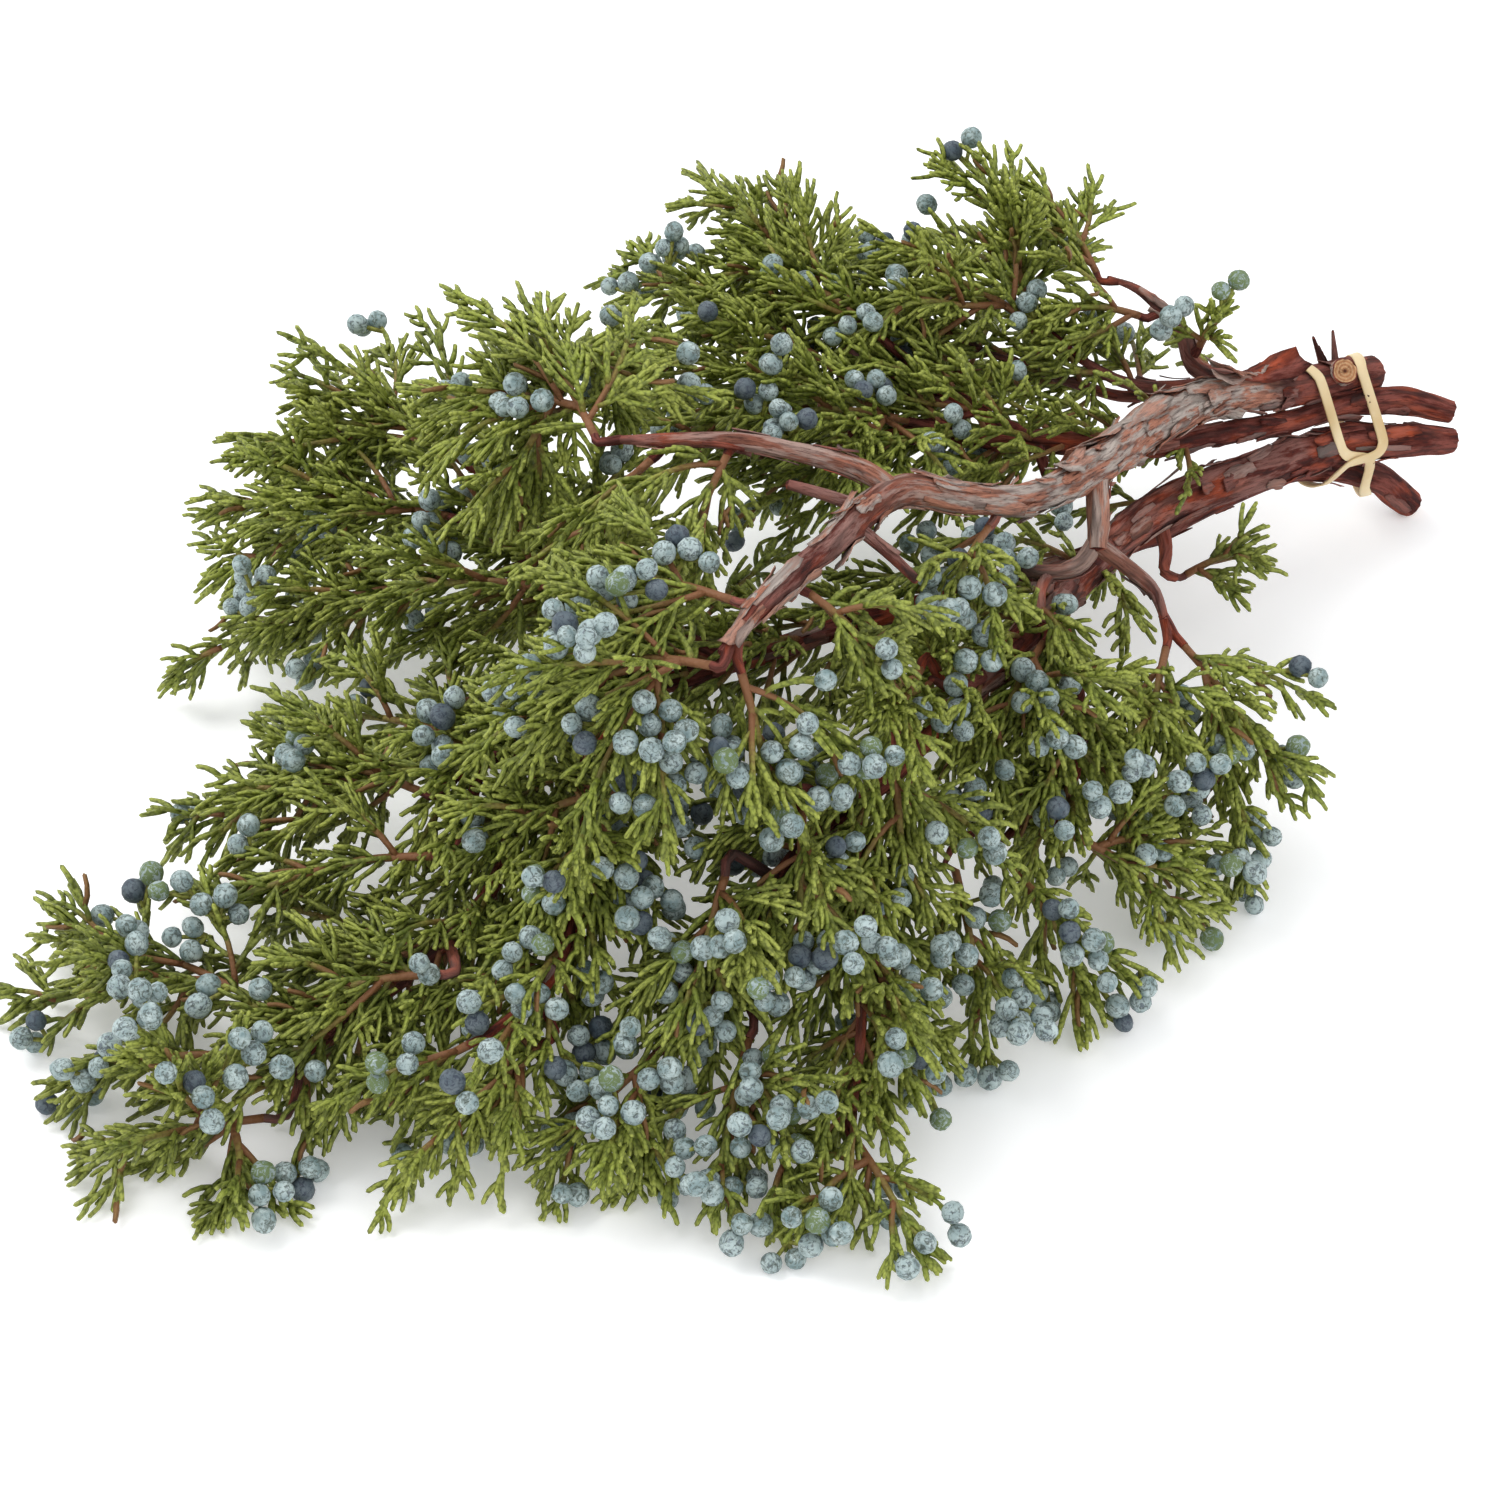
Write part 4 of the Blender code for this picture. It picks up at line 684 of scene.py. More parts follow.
def tube_arrays(lines, radii, sides):
    """Vertices and faces of many tubes at once, each with a rounded tip and a flat end at its base."""
    n, k, _ = lines.shape
    ahead = np.empty_like(lines)
    ahead[:, 1:-1] = lines[:, 2:] - lines[:, :-2]
    ahead[:, 0] = lines[:, 1] - lines[:, 0]
    ahead[:, -1] = lines[:, -1] - lines[:, -2]
    ahead = normalised(ahead)
    overall = normalised(lines[:, -1] - lines[:, 0])
    helper = np.where(np.abs(overall[:, 2:3]) > 0.9, (1.0, 0.0, 0.0), (0.0, 0.0, 1.0))
    side = np.cross(overall, helper)[:, None]
    side = normalised(side - ahead * (side * ahead).sum(2, keepdims=True))
    above = np.cross(side, ahead)
    turn = np.arange(sides) * 2 * np.pi / sides
    ring = np.cos(turn)[:, None] * side[:, :, None] + np.sin(turn)[:, None] * above[:, :, None]
    rings = lines[:, :, None] + radii[:, :, None, None] * ring
    tips = lines[:, -1] + ahead[:, -1] * radii[:, -1:] * 0.8
    vertices = np.concatenate([rings.reshape(n, k * sides, 3), tips[:, None]], axis=1)
    j = np.arange(sides)
    last = (k - 1) * sides
    tris = np.stack([last + j, last + (j + 1) % sides, np.full(sides, k * sides)], -1)
    offset = (np.arange(n) * (k * sides + 1))[:, None, None]
    quads = (ring_quads(k, sides)[None] + offset).reshape(-1, 4)
    tris = (tris[None] + offset).reshape(-1, 3)
    base = (j[::-1][None] + offset[:, :, 0]).reshape(-1, sides)
    return vertices.reshape(-1, 3), [quads, tris, base]


def ring_quads(rings, sides):
    """Faces between each ring of vertices and the next, the rings being numbered one after another."""
    j = np.arange(sides)
    first = np.arange(rings - 1)[:, None] * sides
    after = (j + 1) % sides
    return np.stack([first + j, first + after, first + sides + after, first + sides + j], -1).reshape(-1, 4)


def per_vertex(values, k, sides):
    """One value for each ring, given to all vertices of tube_arrays, the tips with the last ring's."""
    rings = np.repeat(values[:, :k], sides, axis=1)
    return np.concatenate([rings, values[:, -1:]], axis=1).ravel()


class Pile:
    """Vertices, faces and attributes of one piece, gathered from many parts."""

    def __init__(self):
        self.vertices, self.faces, self.slots, self.values, self.size = [], [], [], {}, 0

    def add(self, vertices, faces, slot=0, **values):
        """Adds arrays of faces, and one value or one for each vertex of every attribute."""
        for face in faces:
            if len(face):
                self.faces.append(np.asarray(face) + self.size)
                self.slots.append(np.full(len(face), slot, np.int32))
        self.vertices.append(vertices)
        self.size += len(vertices)
        for name, value in values.items():
            value = np.asarray(value, float)
            value = np.broadcast_to(value, (len(vertices), *value.shape[1:]))
            self.values.setdefault(name, []).append(value)

    def piece(self, name, materials, node):
        """Makes one mesh object of all that was added and puts it in the place of the node."""
        mesh = bpy.data.meshes.new(name)
        vertices = np.concatenate(self.vertices)
        corners = np.concatenate([face.ravel() for face in self.faces]).astype(np.int32)
        totals = np.concatenate([np.full(len(face), face.shape[1], np.int32) for face in self.faces])
        mesh.vertices.add(len(vertices))
        mesh.vertices.foreach_set("co", to_metres(vertices).astype(np.float32).ravel())
        mesh.loops.add(len(corners))
        mesh.loops.foreach_set("vertex_index", corners)
        mesh.polygons.add(len(totals))
        starts = np.concatenate([[0], np.cumsum(totals)[:-1]])
        mesh.polygons.foreach_set("loop_start", starts.astype(np.int32))
        mesh.polygons.foreach_set("material_index", np.concatenate(self.slots))
        mesh.polygons.foreach_set("use_smooth", np.ones(len(totals), bool))
        mesh.update(calc_edges=True)
        for key, parts in self.values.items():
            values = np.concatenate(parts)
            kind, field = ("FLOAT_VECTOR", "vector") if values.ndim == 2 else ("FLOAT", "value")
            attribute = mesh.attributes.new(key, kind, "POINT")
            attribute.data.foreach_set(field, values.astype(np.float32).ravel())
        for material in materials:
            mesh.materials.append(material)
        made = bpy.data.objects.new(name, mesh)
        bpy.context.scene.collection.objects.link(made)
        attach(made, "root")
        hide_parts(*node)
        return made


# Wood as segments, for keeping twigs and berries out of it


def wood_segments(sprays):
    """Starts, ends and radii of all spans of the stems and of the wood twigs."""
    starts, ends, radii = [], [], []
    for paths in STEMS.values():
        for path in paths.values():
            line = np.array(path, float)
            starts.append(line[:-1, :3])
            ends.append(line[1:, :3])
            radii.append(np.maximum(line[:-1, 3], line[1:, 3]))
    for spray in sprays:
        line = np.array(twig_to_spray(spray))[:2]
        starts.append(line[:1])
        ends.append(line[1:])
        radii.append([spray["twig_radius"]])
    return np.concatenate(starts), np.concatenate(ends), np.concatenate(radii)


def depth_in_wood(points, wood):
    """How far each point is from the nearest bark, less than nothing inside it."""
    starts, ends, radii = wood
    along = ends - starts
    best = np.full(len(points), 1e9)
    for a, d, r in zip(starts, along, radii):
        t = np.clip(((points - a) @ d) / max(float(d @ d), 1e-9), 0, 1)
        best = np.minimum(best, np.linalg.norm(points - a - t[:, None] * d, axis=1) - r)
    return best


def tree_of(points):
    """A search tree of the points."""
    tree = kdtree.KDTree(len(points))
    for k, point in enumerate(points):
        tree.insert(Vector(point), k)
    tree.balance()
    return tree


def clear_lines(lines, skip, berries, wood):
    """True for each line that, past its first points, is out of all berries and wood."""
    n, k, _ = lines.shape
    if n == 0:
        return np.zeros(0, bool)
    points = lines[:, skip:].reshape(-1, 3)
    bad = depth_in_wood(points, wood) < TWIG_RADIUS * 0.6
    if berries is not None:
        bad |= np.array([berries.find(Vector(p))[2] < BERRY_RADIUS + TWIG_RADIUS * 0.5 for p in points])
    return ~bad.reshape(n, k - skip).any(1)


# Foliage and berries of all sprays


def whole_path(path):
    """The smooth middle line of one branch."""
    return resample(smooth(np.array(path_points(path))[:, :3], SMOOTH_STEP), PATH_POINTS)


def grow_shoots(sprays, rng, wood):
    """Leafy shoots along the branches, each given to the spray that starts nearest to it."""
    roots = np.array([spray["axes"][0][0] for spray in sprays])
    given = [[] for _ in sprays]
    found = []
    spans = PATH_POINTS - 1
    for path, first, last, size in LEAFY_BRANCHES:
        part = whole_path(path)[int(spans * first) : int(spans * last) + 1]
        line = resample(part, LINE_POINTS)[None]
        rule = dict(SHOOT, length=fading(size, SHOOT_FADE))
        lines, normals, _, _ = branch(line, outward_at(line[:, LINE_MIDDLE]), rng, rule)
        clear = clear_lines(lines, 3, None, wood)
        found += list(zip(lines[clear], normals[clear]))
    for path, share, tip in INNER_SHOOTS:
        start, tip = whole_path(path)[int(spans * share)], np.array(tip, float)
        line = bezier(start, (start + tip) / 2 + INNER_SHOOT_ARCH * UP, tip, SHOOT["points"] - 1)
        lift_off_floor(line)
        found.append((line, outward_at(line[4:5])[0]))
    for shoot, normal in found:
        given[int(np.argmin(np.linalg.norm(roots - shoot[0], axis=1)))].append((shoot, normal))
    return given


def grow_laterals(spray, shoots, rng, wood):
    """The axes of a spray, the side axes that leave them, its shoots and the laterals of them all."""
    reach = spray["reach"]
    axes = np.stack([resample(smooth(axis, SMOOTH_STEP), LINE_POINTS) for axis in spray["axes"]])
    for number in range(1, len(axes)):
        leaving = axes[0][min(2 * number, LINE_MIDDLE)]
        axes[number] += (leaving - axes[number][0]) * np.linspace(1, 0, LINE_POINTS)[:, None] ** 2
    middles = axes[:, LINE_MIDDLE]
    normals = normalised(outward_at(middles) + rng.normal(0, 0.2, middles.shape))
    rule = dict(SIDE_AXIS, length=fading(reach * SIDE_AXIS_SIZE, SIDE_AXIS_FADE))
    side_axes, side_normals, _, _ = branch(axes, normals, rng, rule)
    keep = clear_lines(side_axes, 3, None, wood)
    side_axes = np.concatenate([side_axes[keep]] + [shoot[None] for shoot, _ in shoots])
    side_normals = np.concatenate([side_normals[keep]] + [normal[None] for _, normal in shoots])
    parents = ((axes, normals, AXIS_LATERAL_SIZE), (side_axes, side_normals, SIDE_LATERAL_SIZE))
    grown = [
        branch(lines, line_normals, rng, dict(LATERAL, length=fading(reach * size, LATERAL_FADE)))
        for lines, line_normals, size in parents
    ]
    lines, normal, share = (np.concatenate([g[k] for g in grown]) for k in (0, 1, 3))
    keep = clear_lines(lines, 2, None, wood)
    return {
        "axes": axes, "side_axes": side_axes,
        "lines": lines[keep], "normals": normal[keep], "share": share[keep],
    }


def place_berries(spray, growth, rng, taken, twig_tree, wood):
    """Centres of one spray's berries and the points where their stalks leave the twigs."""
    lines = growth["lines"]
    placed = []
    wanted = round(spray["berries"] * BERRY_FACTOR)
    left = 0
    for _ in range(wanted * BERRY_TRIES):
        if len(placed) == wanted:
            break
        size = BERRY_RADIUS * rng.uniform(*BERRY_SIZES)
        if left > 0:
            beside = placed[-int(rng.integers(1, min(grown, 3) + 1))]
            base = beside[2]
            way = outward_at(beside[0][None])[0] * CLUSTER_OUTWARD + rng.normal(0, 1, 3)
            centre = beside[0] + normalised(way) * (size + beside[1]) * rng.uniform(*CLUSTER_GAPS)
            left -= CLUSTER_TRY_COST
        else:
            choice = rng.integers(len(lines), size=4)
            k = int(choice[np.argmax(exposed(lines[choice, -1]) + rng.uniform(0, 0.4, 4))])
            start, ahead = read_lines(lines[k : k + 1], np.array([rng.uniform(0.3, 0.95)]))
            base = start[0]
            way = outward_at(start)[0] * BERRY_OUTWARD + ahead[0] * BERRY_AHEAD
            way = way + rng.normal(0, BERRY_SCATTER, 3) - BERRY_DROOP * UP
            centre = base + normalised(way) * (size + rng.uniform(*BERRY_STALK))
        centre[2] = max(centre[2], size + 0.1)
        if np.linalg.norm(centre - base) > BERRY_REACH:
            continue
        if centre[2] + size > BERRY_TOP or centre[0] < BERRY_LEFT:
            continue
        nearest = size - BERRY_OVERLAP
        if any(np.linalg.norm(centre - other) < nearest + other_size for other, other_size in taken):
            continue
        crossed = twig_tree.find_range(Vector(centre), size + 0.3)
        if len(crossed) > 1 or depth_in_wood(centre[None], wood)[0] < size:
            continue
        if left <= 0:
            left, grown = rng.integers(*CLUSTER_SIZES), 0
        else:
            left -= CLUSTER_BERRY_COST
        grown += 1
        placed.append((centre, size, base))
        taken.append((centre, size))
    return placed


def grow_twiglets(growth, rng, berries, wood):
    """The small twigs on the laterals and the last short ones on those, clear of berries and wood."""
    lines, normal, _, _ = branch(growth["lines"], growth["normals"], rng, TWIGLET)
    keep = clear_lines(lines, 1, berries, wood)
    growth["twiglets"] = lines[keep]
    tips, _, _, _ = branch(lines[keep], normal[keep], rng, TIPLET)
    growth["tiplets"] = tips[clear_lines(tips, 1, berries, wood)]


def beaded(count, points, base, end, rng):
    """Radii that swell and narrow along the twig as its scale leaves do, with a blunt tip."""
    along = np.linspace(0, 1, points)
    beads = np.where(np.arange(points) % 2 == 0, 0.93, 1.07)
    beads[-1] = 0.86
    size = rng.uniform(0.9, 1.1, count)[:, None]
    return size * (base + (end - base) * along) * beads


def add_twigs(pile, lines, radii, sides, tone, young, woody):
    """Adds tubes for the lines, with their tones for each line and their ages for each ring."""
    n, k, _ = lines.shape
    if n == 0:
        return
    vertices, faces = tube_arrays(lines, radii, sides)
    pile.add(
        vertices, faces,
        tone=per_vertex(np.repeat(tone[:, None], k, 1), k, sides),
        young=per_vertex(young, k, sides),
        woody=per_vertex(woody, k, sides),
    )


def foliage_piece(spray, growth, rng, materials):
    """All axes and twigs of one spray as one piece, the thicker ones with more sides."""
    pile = Pile()
    shade = rng.normal(0, SPRAY_SHADE)

    # Painted shade and light: a darker tone deep in the bunch and a lighter one at its outside, plus random
    # tone.
    def tones(lines):
        tone = DEEP_PAINTED_SHADE_TONE + EXPOSED_PAINTED_LIGHT_RISE * exposed(lines[:, 0]) + shade
        return np.clip(tone + rng.normal(0, TWIG_SHADE, len(lines)), 0, 1)

    for key, (sides, root, tip) in (("axes", AXIS_TUBE), ("side_axes", SIDE_AXIS_TUBE)):
        lines = growth[key]
        along = np.linspace(0, 1, lines.shape[1])[None].repeat(len(lines), 0)
        radii = root + (tip - root) * along
        add_twigs(pile, lines, radii, sides, tones(lines), along * 0.3, np.clip(1.4 - 1.9 * along, 0, 1))

    lines = growth["lines"]
    along = np.linspace(0, 1, lines.shape[1])[None].repeat(len(lines), 0)
    brown = np.clip(0.55 - 2.6 * along, 0, 1) * (rng.uniform(0, 1, len(lines)) < BROWN_SHARE)[:, None]
    sides, root, tip = LATERAL_TUBE
    radii = beaded(len(lines), lines.shape[1], root, tip, rng)
    woody = brown * np.clip(1.4 - growth["share"], 0, 1)[:, None]
    add_twigs(pile, lines, radii, sides, tones(lines), 0.15 + 0.55 * along, woody)

    for key, (sides, root, tip) in (("twiglets", TWIGLET_TUBE), ("tiplets", TIPLET_TUBE)):
        lines = growth[key]
        n, k, _ = lines.shape
        if n == 0:
            continue
        along = np.linspace(0, 1, k)[None].repeat(n, 0)
        dead = (rng.uniform(0, 1, n) < DEAD_SHARE)[:, None]
        radii, woody = beaded(n, k, root, tip, rng), np.where(dead, 0.9, 0.0) * np.ones(k)
        add_twigs(pile, lines, radii, sides, tones(lines), 0.25 + 0.6 * along, woody)
    return pile.piece("foliage_" + spray["name"][6:], materials, [spray["name"]])


def unit_berry(segments=11, rings=7):
    """Vertices and faces of a unit ball with its poles on the Z axis."""
    polar = np.linspace(0, np.pi, rings + 1)[1:-1]
    turn = np.arange(segments) * 2 * np.pi / segments
    body = np.stack(
        [
            np.sin(polar)[:, None] * np.cos(turn), np.sin(polar)[:, None] * np.sin(turn),
            np.cos(polar)[:, None] * np.ones(segments),
        ],
        -1,
    ).reshape(-1, 3)
    vertices = np.vstack([body, [(0, 0, 1), (0, 0, -1)]])
    j = np.arange(segments)
    quads = ring_quads(rings - 1, segments)[:, (0, 3, 2, 1)]
    last = (rings - 2) * segments
    top = np.stack([j, (j + 1) % segments, np.full(segments, len(body))], -1)
    bottom = np.stack([last + (j + 1) % segments, last + j, np.full(segments, len(body) + 1)], -1)
    return vertices, [quads, np.concatenate([top, bottom])]


def berry_piece(spray, placed, rng, materials):
    """The berries of one spray with their stalks, each a slightly uneven ball. None for a bare spray."""
    if not placed:
        return None
    pile = Pile()
    ball, faces = unit_berry()
    for centre, size, base in placed:
        stalk = normalised(centre - base)
        side, above = frame_for(stalk, UP + 0.01)
        turn = rng.uniform(0, FULL_TURN)
        local = ball.copy()
        waves = sum(
            rng.uniform(0.008, 0.022) * np.sin(rng.normal(0, 2.6, 3) @ local.T + rng.uniform(0, FULL_TURN))
            for _ in range(4)
        )
        tip = np.exp(-(((local[:, 2] - 1) / 0.03) ** 2)) * 0.05
        local = local * (1 + waves + tip)[:, None] * (1, 1, rng.uniform(0.94, 1.08))
        x = np.cos(turn) * side + np.sin(turn) * above
        y = np.cross(stalk, x)
        vertices = centre + size * (local[:, :1] * x + local[:, 1:2] * y + local[:, 2:] * stalk)
        vertices[:, 2] = np.maximum(vertices[:, 2], 0.05)
        kind = rng.choice(BERRY_KINDS, p=BERRY_KIND_SHARES)
        pile.add(
            vertices, faces, spot=local * size + rng.uniform(-500, 500, 3),
            tone=np.full(1, rng.uniform(0, 1)), kind=np.full(1, kind), young=np.zeros(1), woody=np.zeros(1),
        )
        stalk_line = np.linspace(base, centre - stalk * size * 0.92, 3)[None]
        vertices, stalk_faces = tube_arrays(stalk_line, np.full((1, 3), STALK_RADIUS), 5)
        pile.add(
            vertices, stalk_faces, slot=1, spot=np.zeros((1, 3)), tone=np.full(1, 0.5),
            kind=np.zeros(1), young=np.full(1, 0.4), woody=np.full(1, 0.2),
        )
    return pile.piece("berries_" + spray["name"][6:], materials, [spray["name"]])


# Wood: stems with ridged bark, loose flakes of bark and cut ends

# Sides of a branch and length of its spans, by least radius
WOOD_DETAIL = ((5.0, 28, 2.0), (3.0, 16, 2.8), (1.9, 9, 3.6), (0.0, 7, 4.4))
WOOD_LOW = 0.02
GRAIN_SHIFT = (-300, 300)
RIDGES = 16
RIDGE_HEIGHT = 0.42
KNOT_SPACING = 45
KNOT_HEIGHT = 0.22
KNOT_SPREAD = 0.45
CUT_STARTS = ("upper_main", "middle_main", "lower_main", "short_main", "back_main")
CUT_ENDS = ("cut_stub",)

# The bark is red near the cut ends and turns grey between these distances from them
CUT_END_RED = (48.0, 80.0)
OLD_BARK_END = (250.0, 330.0)

# Rings that close a cut or a broken end, as shares of its radius and heights above its edge
CUT_END_RINGS = ((1.0, 0.9, 0.6, 0.3), (0.0, 0.35, 0.45, 0.3))
BROKEN_END_RINGS = ((1.0, 0.75, 0.4), (0.0, 0.45, 0.8))

# Flakes of bark
FLAKE_SIZES = (7, 26)
FLAKE_WIDTHS = (1.6, 5.0)
FLAKE_LIFTS = (0.3, 1.6)
FLAKE_THICKNESS = 0.32
FLAKE_GAP = 0.12
FLAKE_POINTS_ACROSS = 4
FLAKE_POINTS_ALONG = 8

# Large curls of bark on the upper stem: (start, turn about the stem, size, width, lift of the free end)
CURLS = (
    (56.0, 1.9, 30.0, 7.0, 9.0), (70.0, 1.3, 34.0, 8.0, 7.0), (86.0, 1.7, 24.0, 6.0, 5.0),
    (112.0, 1.2, 30.0, 6.0, 3.0), (128.0, 0.5, 44.0, 9.0, 2.4), (140.0, 1.6, 36.0, 8.0, 2.0),
    (158.0, 0.9, 40.0, 9.0, 2.6), (176.0, 0.2, 34.0, 8.0, 3.4), (96.0, 0.4, 40.0, 9.0, 2.0),
    (60.0, 0.6, 36.0, 8.0, 1.6), (40.0, 1.2, 24.0, 7.0, 1.4), (196.0, 1.4, 36.0, 7.0, 2.2),
)

FLAKES = {"upper_stem": 150, "lower_stem": 90, "short_stem": 45, "middle_stem": 30, "back_stem": 16}
BARK_AGE = {"upper_stem": 1.0, "lower_stem": 0.4, "short_stem": 0.35, "middle_stem": 0.3, "back_stem": 0.6}


class Bark:
    """Height of the bark over a stem's round surface, as ridges that run along it and a few knots."""

    def __init__(self, rng, radius, length):
        self.around = rng.integers(1, 9, RIDGES)
        self.ahead = rng.normal(0, 0.11, RIDGES)
        self.phase = rng.uniform(0, 2 * np.pi, RIDGES)
        self.weight = rng.uniform(0.3, 1.0, RIDGES) / np.sqrt(self.around)
        knots = max(1, int(length / KNOT_SPACING))
        self.knots = np.stack([rng.uniform(0, length, knots), rng.uniform(0, 2 * np.pi, knots)], 1)
        self.radius = radius

    def height(self, s, theta):
        """Height in millimetres at a distance s along the stem and an angle theta about it."""
        waves = np.sin(self.around * theta[..., None] + self.ahead * s[..., None] + self.phase)
        ridges = (np.abs(waves) ** 0.7 * self.weight).sum(-1) / self.weight.sum() - 0.6
        knots = 0.0
        for at, turn in self.knots:
            off = np.angle(np.exp(1j * (theta - turn))) * self.radius
            spread = KNOT_SPREAD * self.radius**2
            knots = knots + KNOT_HEIGHT * np.exp(-(((s - at) ** 2 + off**2) / spread))
        return self.radius * (RIDGE_HEIGHT * ridges + knots)


def stem_frames(line):
    """Centres, directions, sides, tops and distances along a line of (x, y, z, radius)."""
    centres = line[:, :3]
    ahead = np.empty_like(centres)
    ahead[1:-1] = centres[2:] - centres[:-2]
    ahead[0], ahead[-1] = centres[1] - centres[0], centres[-1] - centres[-2]
    ahead = normalised(ahead)
    side = normalised(np.cross(ahead, UP + 0.013))
    above = np.cross(side, ahead)
    s = np.concatenate([[0.0], np.cumsum(np.linalg.norm(np.diff(centres, axis=0), axis=1))])
    return centres, ahead, side, above, s


def add_stem_path(pile, path, rng, age, cut_start, cut_end):
    """One branch of a stem as a ridged tube. Returns what the flakes need."""
    rough = np.array(path, float)
    radius = float(rough[:, 3].max())
    sides, step = next((sides, step) for limit, sides, step in WOOD_DETAIL if radius >= limit)
    line = smooth(rough, step)
    centres, ahead, side, above, s = stem_frames(line)
    bark = Bark(rng, radius, float(s[-1]))
    theta = np.arange(sides) * 2 * np.pi / sides
    spans, turns = np.meshgrid(s, theta, indexing="ij")
    if not cut_end and s[-1] > 40:
        line[:, 3] *= np.interp(s, (s[-1] - 25, s[-1]), (1.0, 0.62))
    r = line[:, 3][:, None] * 0.99 + bark.height(spans, turns) * (line[:, 3] / radius)[:, None]
    around = np.cos(turns)[..., None] * side[:, None] + np.sin(turns)[..., None] * above[:, None]
    vertices = centres[:, None] + r[..., None] * around
    grain = np.stack([spans, r * np.cos(turns), r * np.sin(turns)], -1) + rng.uniform(*GRAIN_SHIFT, 3)
    ages = age * np.interp(line[:, 3], (1.5, 5.0), (0.3, 1.0))
    if cut_start:
        ages = ages * np.interp(s, (*CUT_END_RED, *OLD_BARK_END), (0.1, 1.0, 1.0, 0.5))
    ages = np.clip(ages, 0, 1)[:, None].repeat(sides, 1)
    pile.add(
        np.maximum(vertices.reshape(-1, 3), (-1e9, -1e9, WOOD_LOW)), [ring_quads(len(line), sides)],
        grain=grain.reshape(-1, 3), age=ages.ravel(), tone=np.full(1, rng.uniform(0.3, 0.7)),
    )
    for at, way, cut in ((0, -1.0, cut_start), (len(line) - 1, 1.0, cut_end)):
        add_end(pile, vertices[at], centres[at], ahead[at] * way, rng, cut, r[at].mean())
    frames = (centres, ahead, side, above, s)
    return {"line": line, "frames": frames, "bark": bark, "radius": radius, "age": age}


def add_end(pile, ring, centre, way, rng, cut, radius):
    """Closes an end: a cut face with a worn rim and a pith, or a blunt broken tip."""
    sides = len(ring)
    shares, heights = CUT_END_RINGS if cut else BROKEN_END_RINGS
    rings = []
    for share, height in zip(shares, heights):
        rough = rng.normal(0, 0.05 * radius, sides) if 0 < share < 1 else np.zeros(sides)
        rings.append(centre + (ring - centre) * share + way * (height + rough[:, None]))
    rings.append((centre + way * (0.1 if cut else radius * 0.35))[None])
    j = np.arange(sides)
    quads = ring_quads(len(shares), sides)
    low = (len(shares) - 1) * sides
    tris = np.stack([low + j, low + (j + 1) % sides, np.full(sides, low + sides)], -1)
    if float(np.cross(ring[1] - ring[0], ring[2] - ring[1]) @ way) < 0:
        quads, tris = quads[:, ::-1], tris[:, ::-1]
    vertices = np.concatenate(rings)
    vertices[:, 2] = np.maximum(vertices[:, 2], WOOD_LOW)
    rim, face = (quads[:sides], quads[sides:]) if cut else (quads, quads[:0])
    values = {"grain": vertices - centre, "age": np.full(1, 0.3), "tone": np.full(1, 0.5)}
    pile.add(vertices, [rim], slot=0, **values)
    pile.add(vertices, [face, tris] if cut else [tris], slot=1 if cut else 0, **values)


def add_flakes(pile, built, count, rng):
    """Thin strips of bark that lie along a stem, each lifted at one end."""
    weights = np.array([b["radius"] ** 2 * b["frames"][4][-1] for b in built])
    for which in rng.choice(len(built), count, p=weights / weights.sum()):
        stem = built[which]
        total = stem["frames"][4][-1]
        size = rng.uniform(*FLAKE_SIZES) * min(1.0, stem["radius"] / 5)
        start = rng.uniform(2, max(total - size - 2, 3))
        turn = rng.uniform(0, 2 * np.pi)
        width = rng.uniform(*FLAKE_WIDTHS) * stem["radius"] / 7
        lift = rng.uniform(*FLAKE_LIFTS) * (1 if rng.random() < 0.8 else 2.0)
        add_flake(pile, stem, rng, start, turn, size, width, lift)


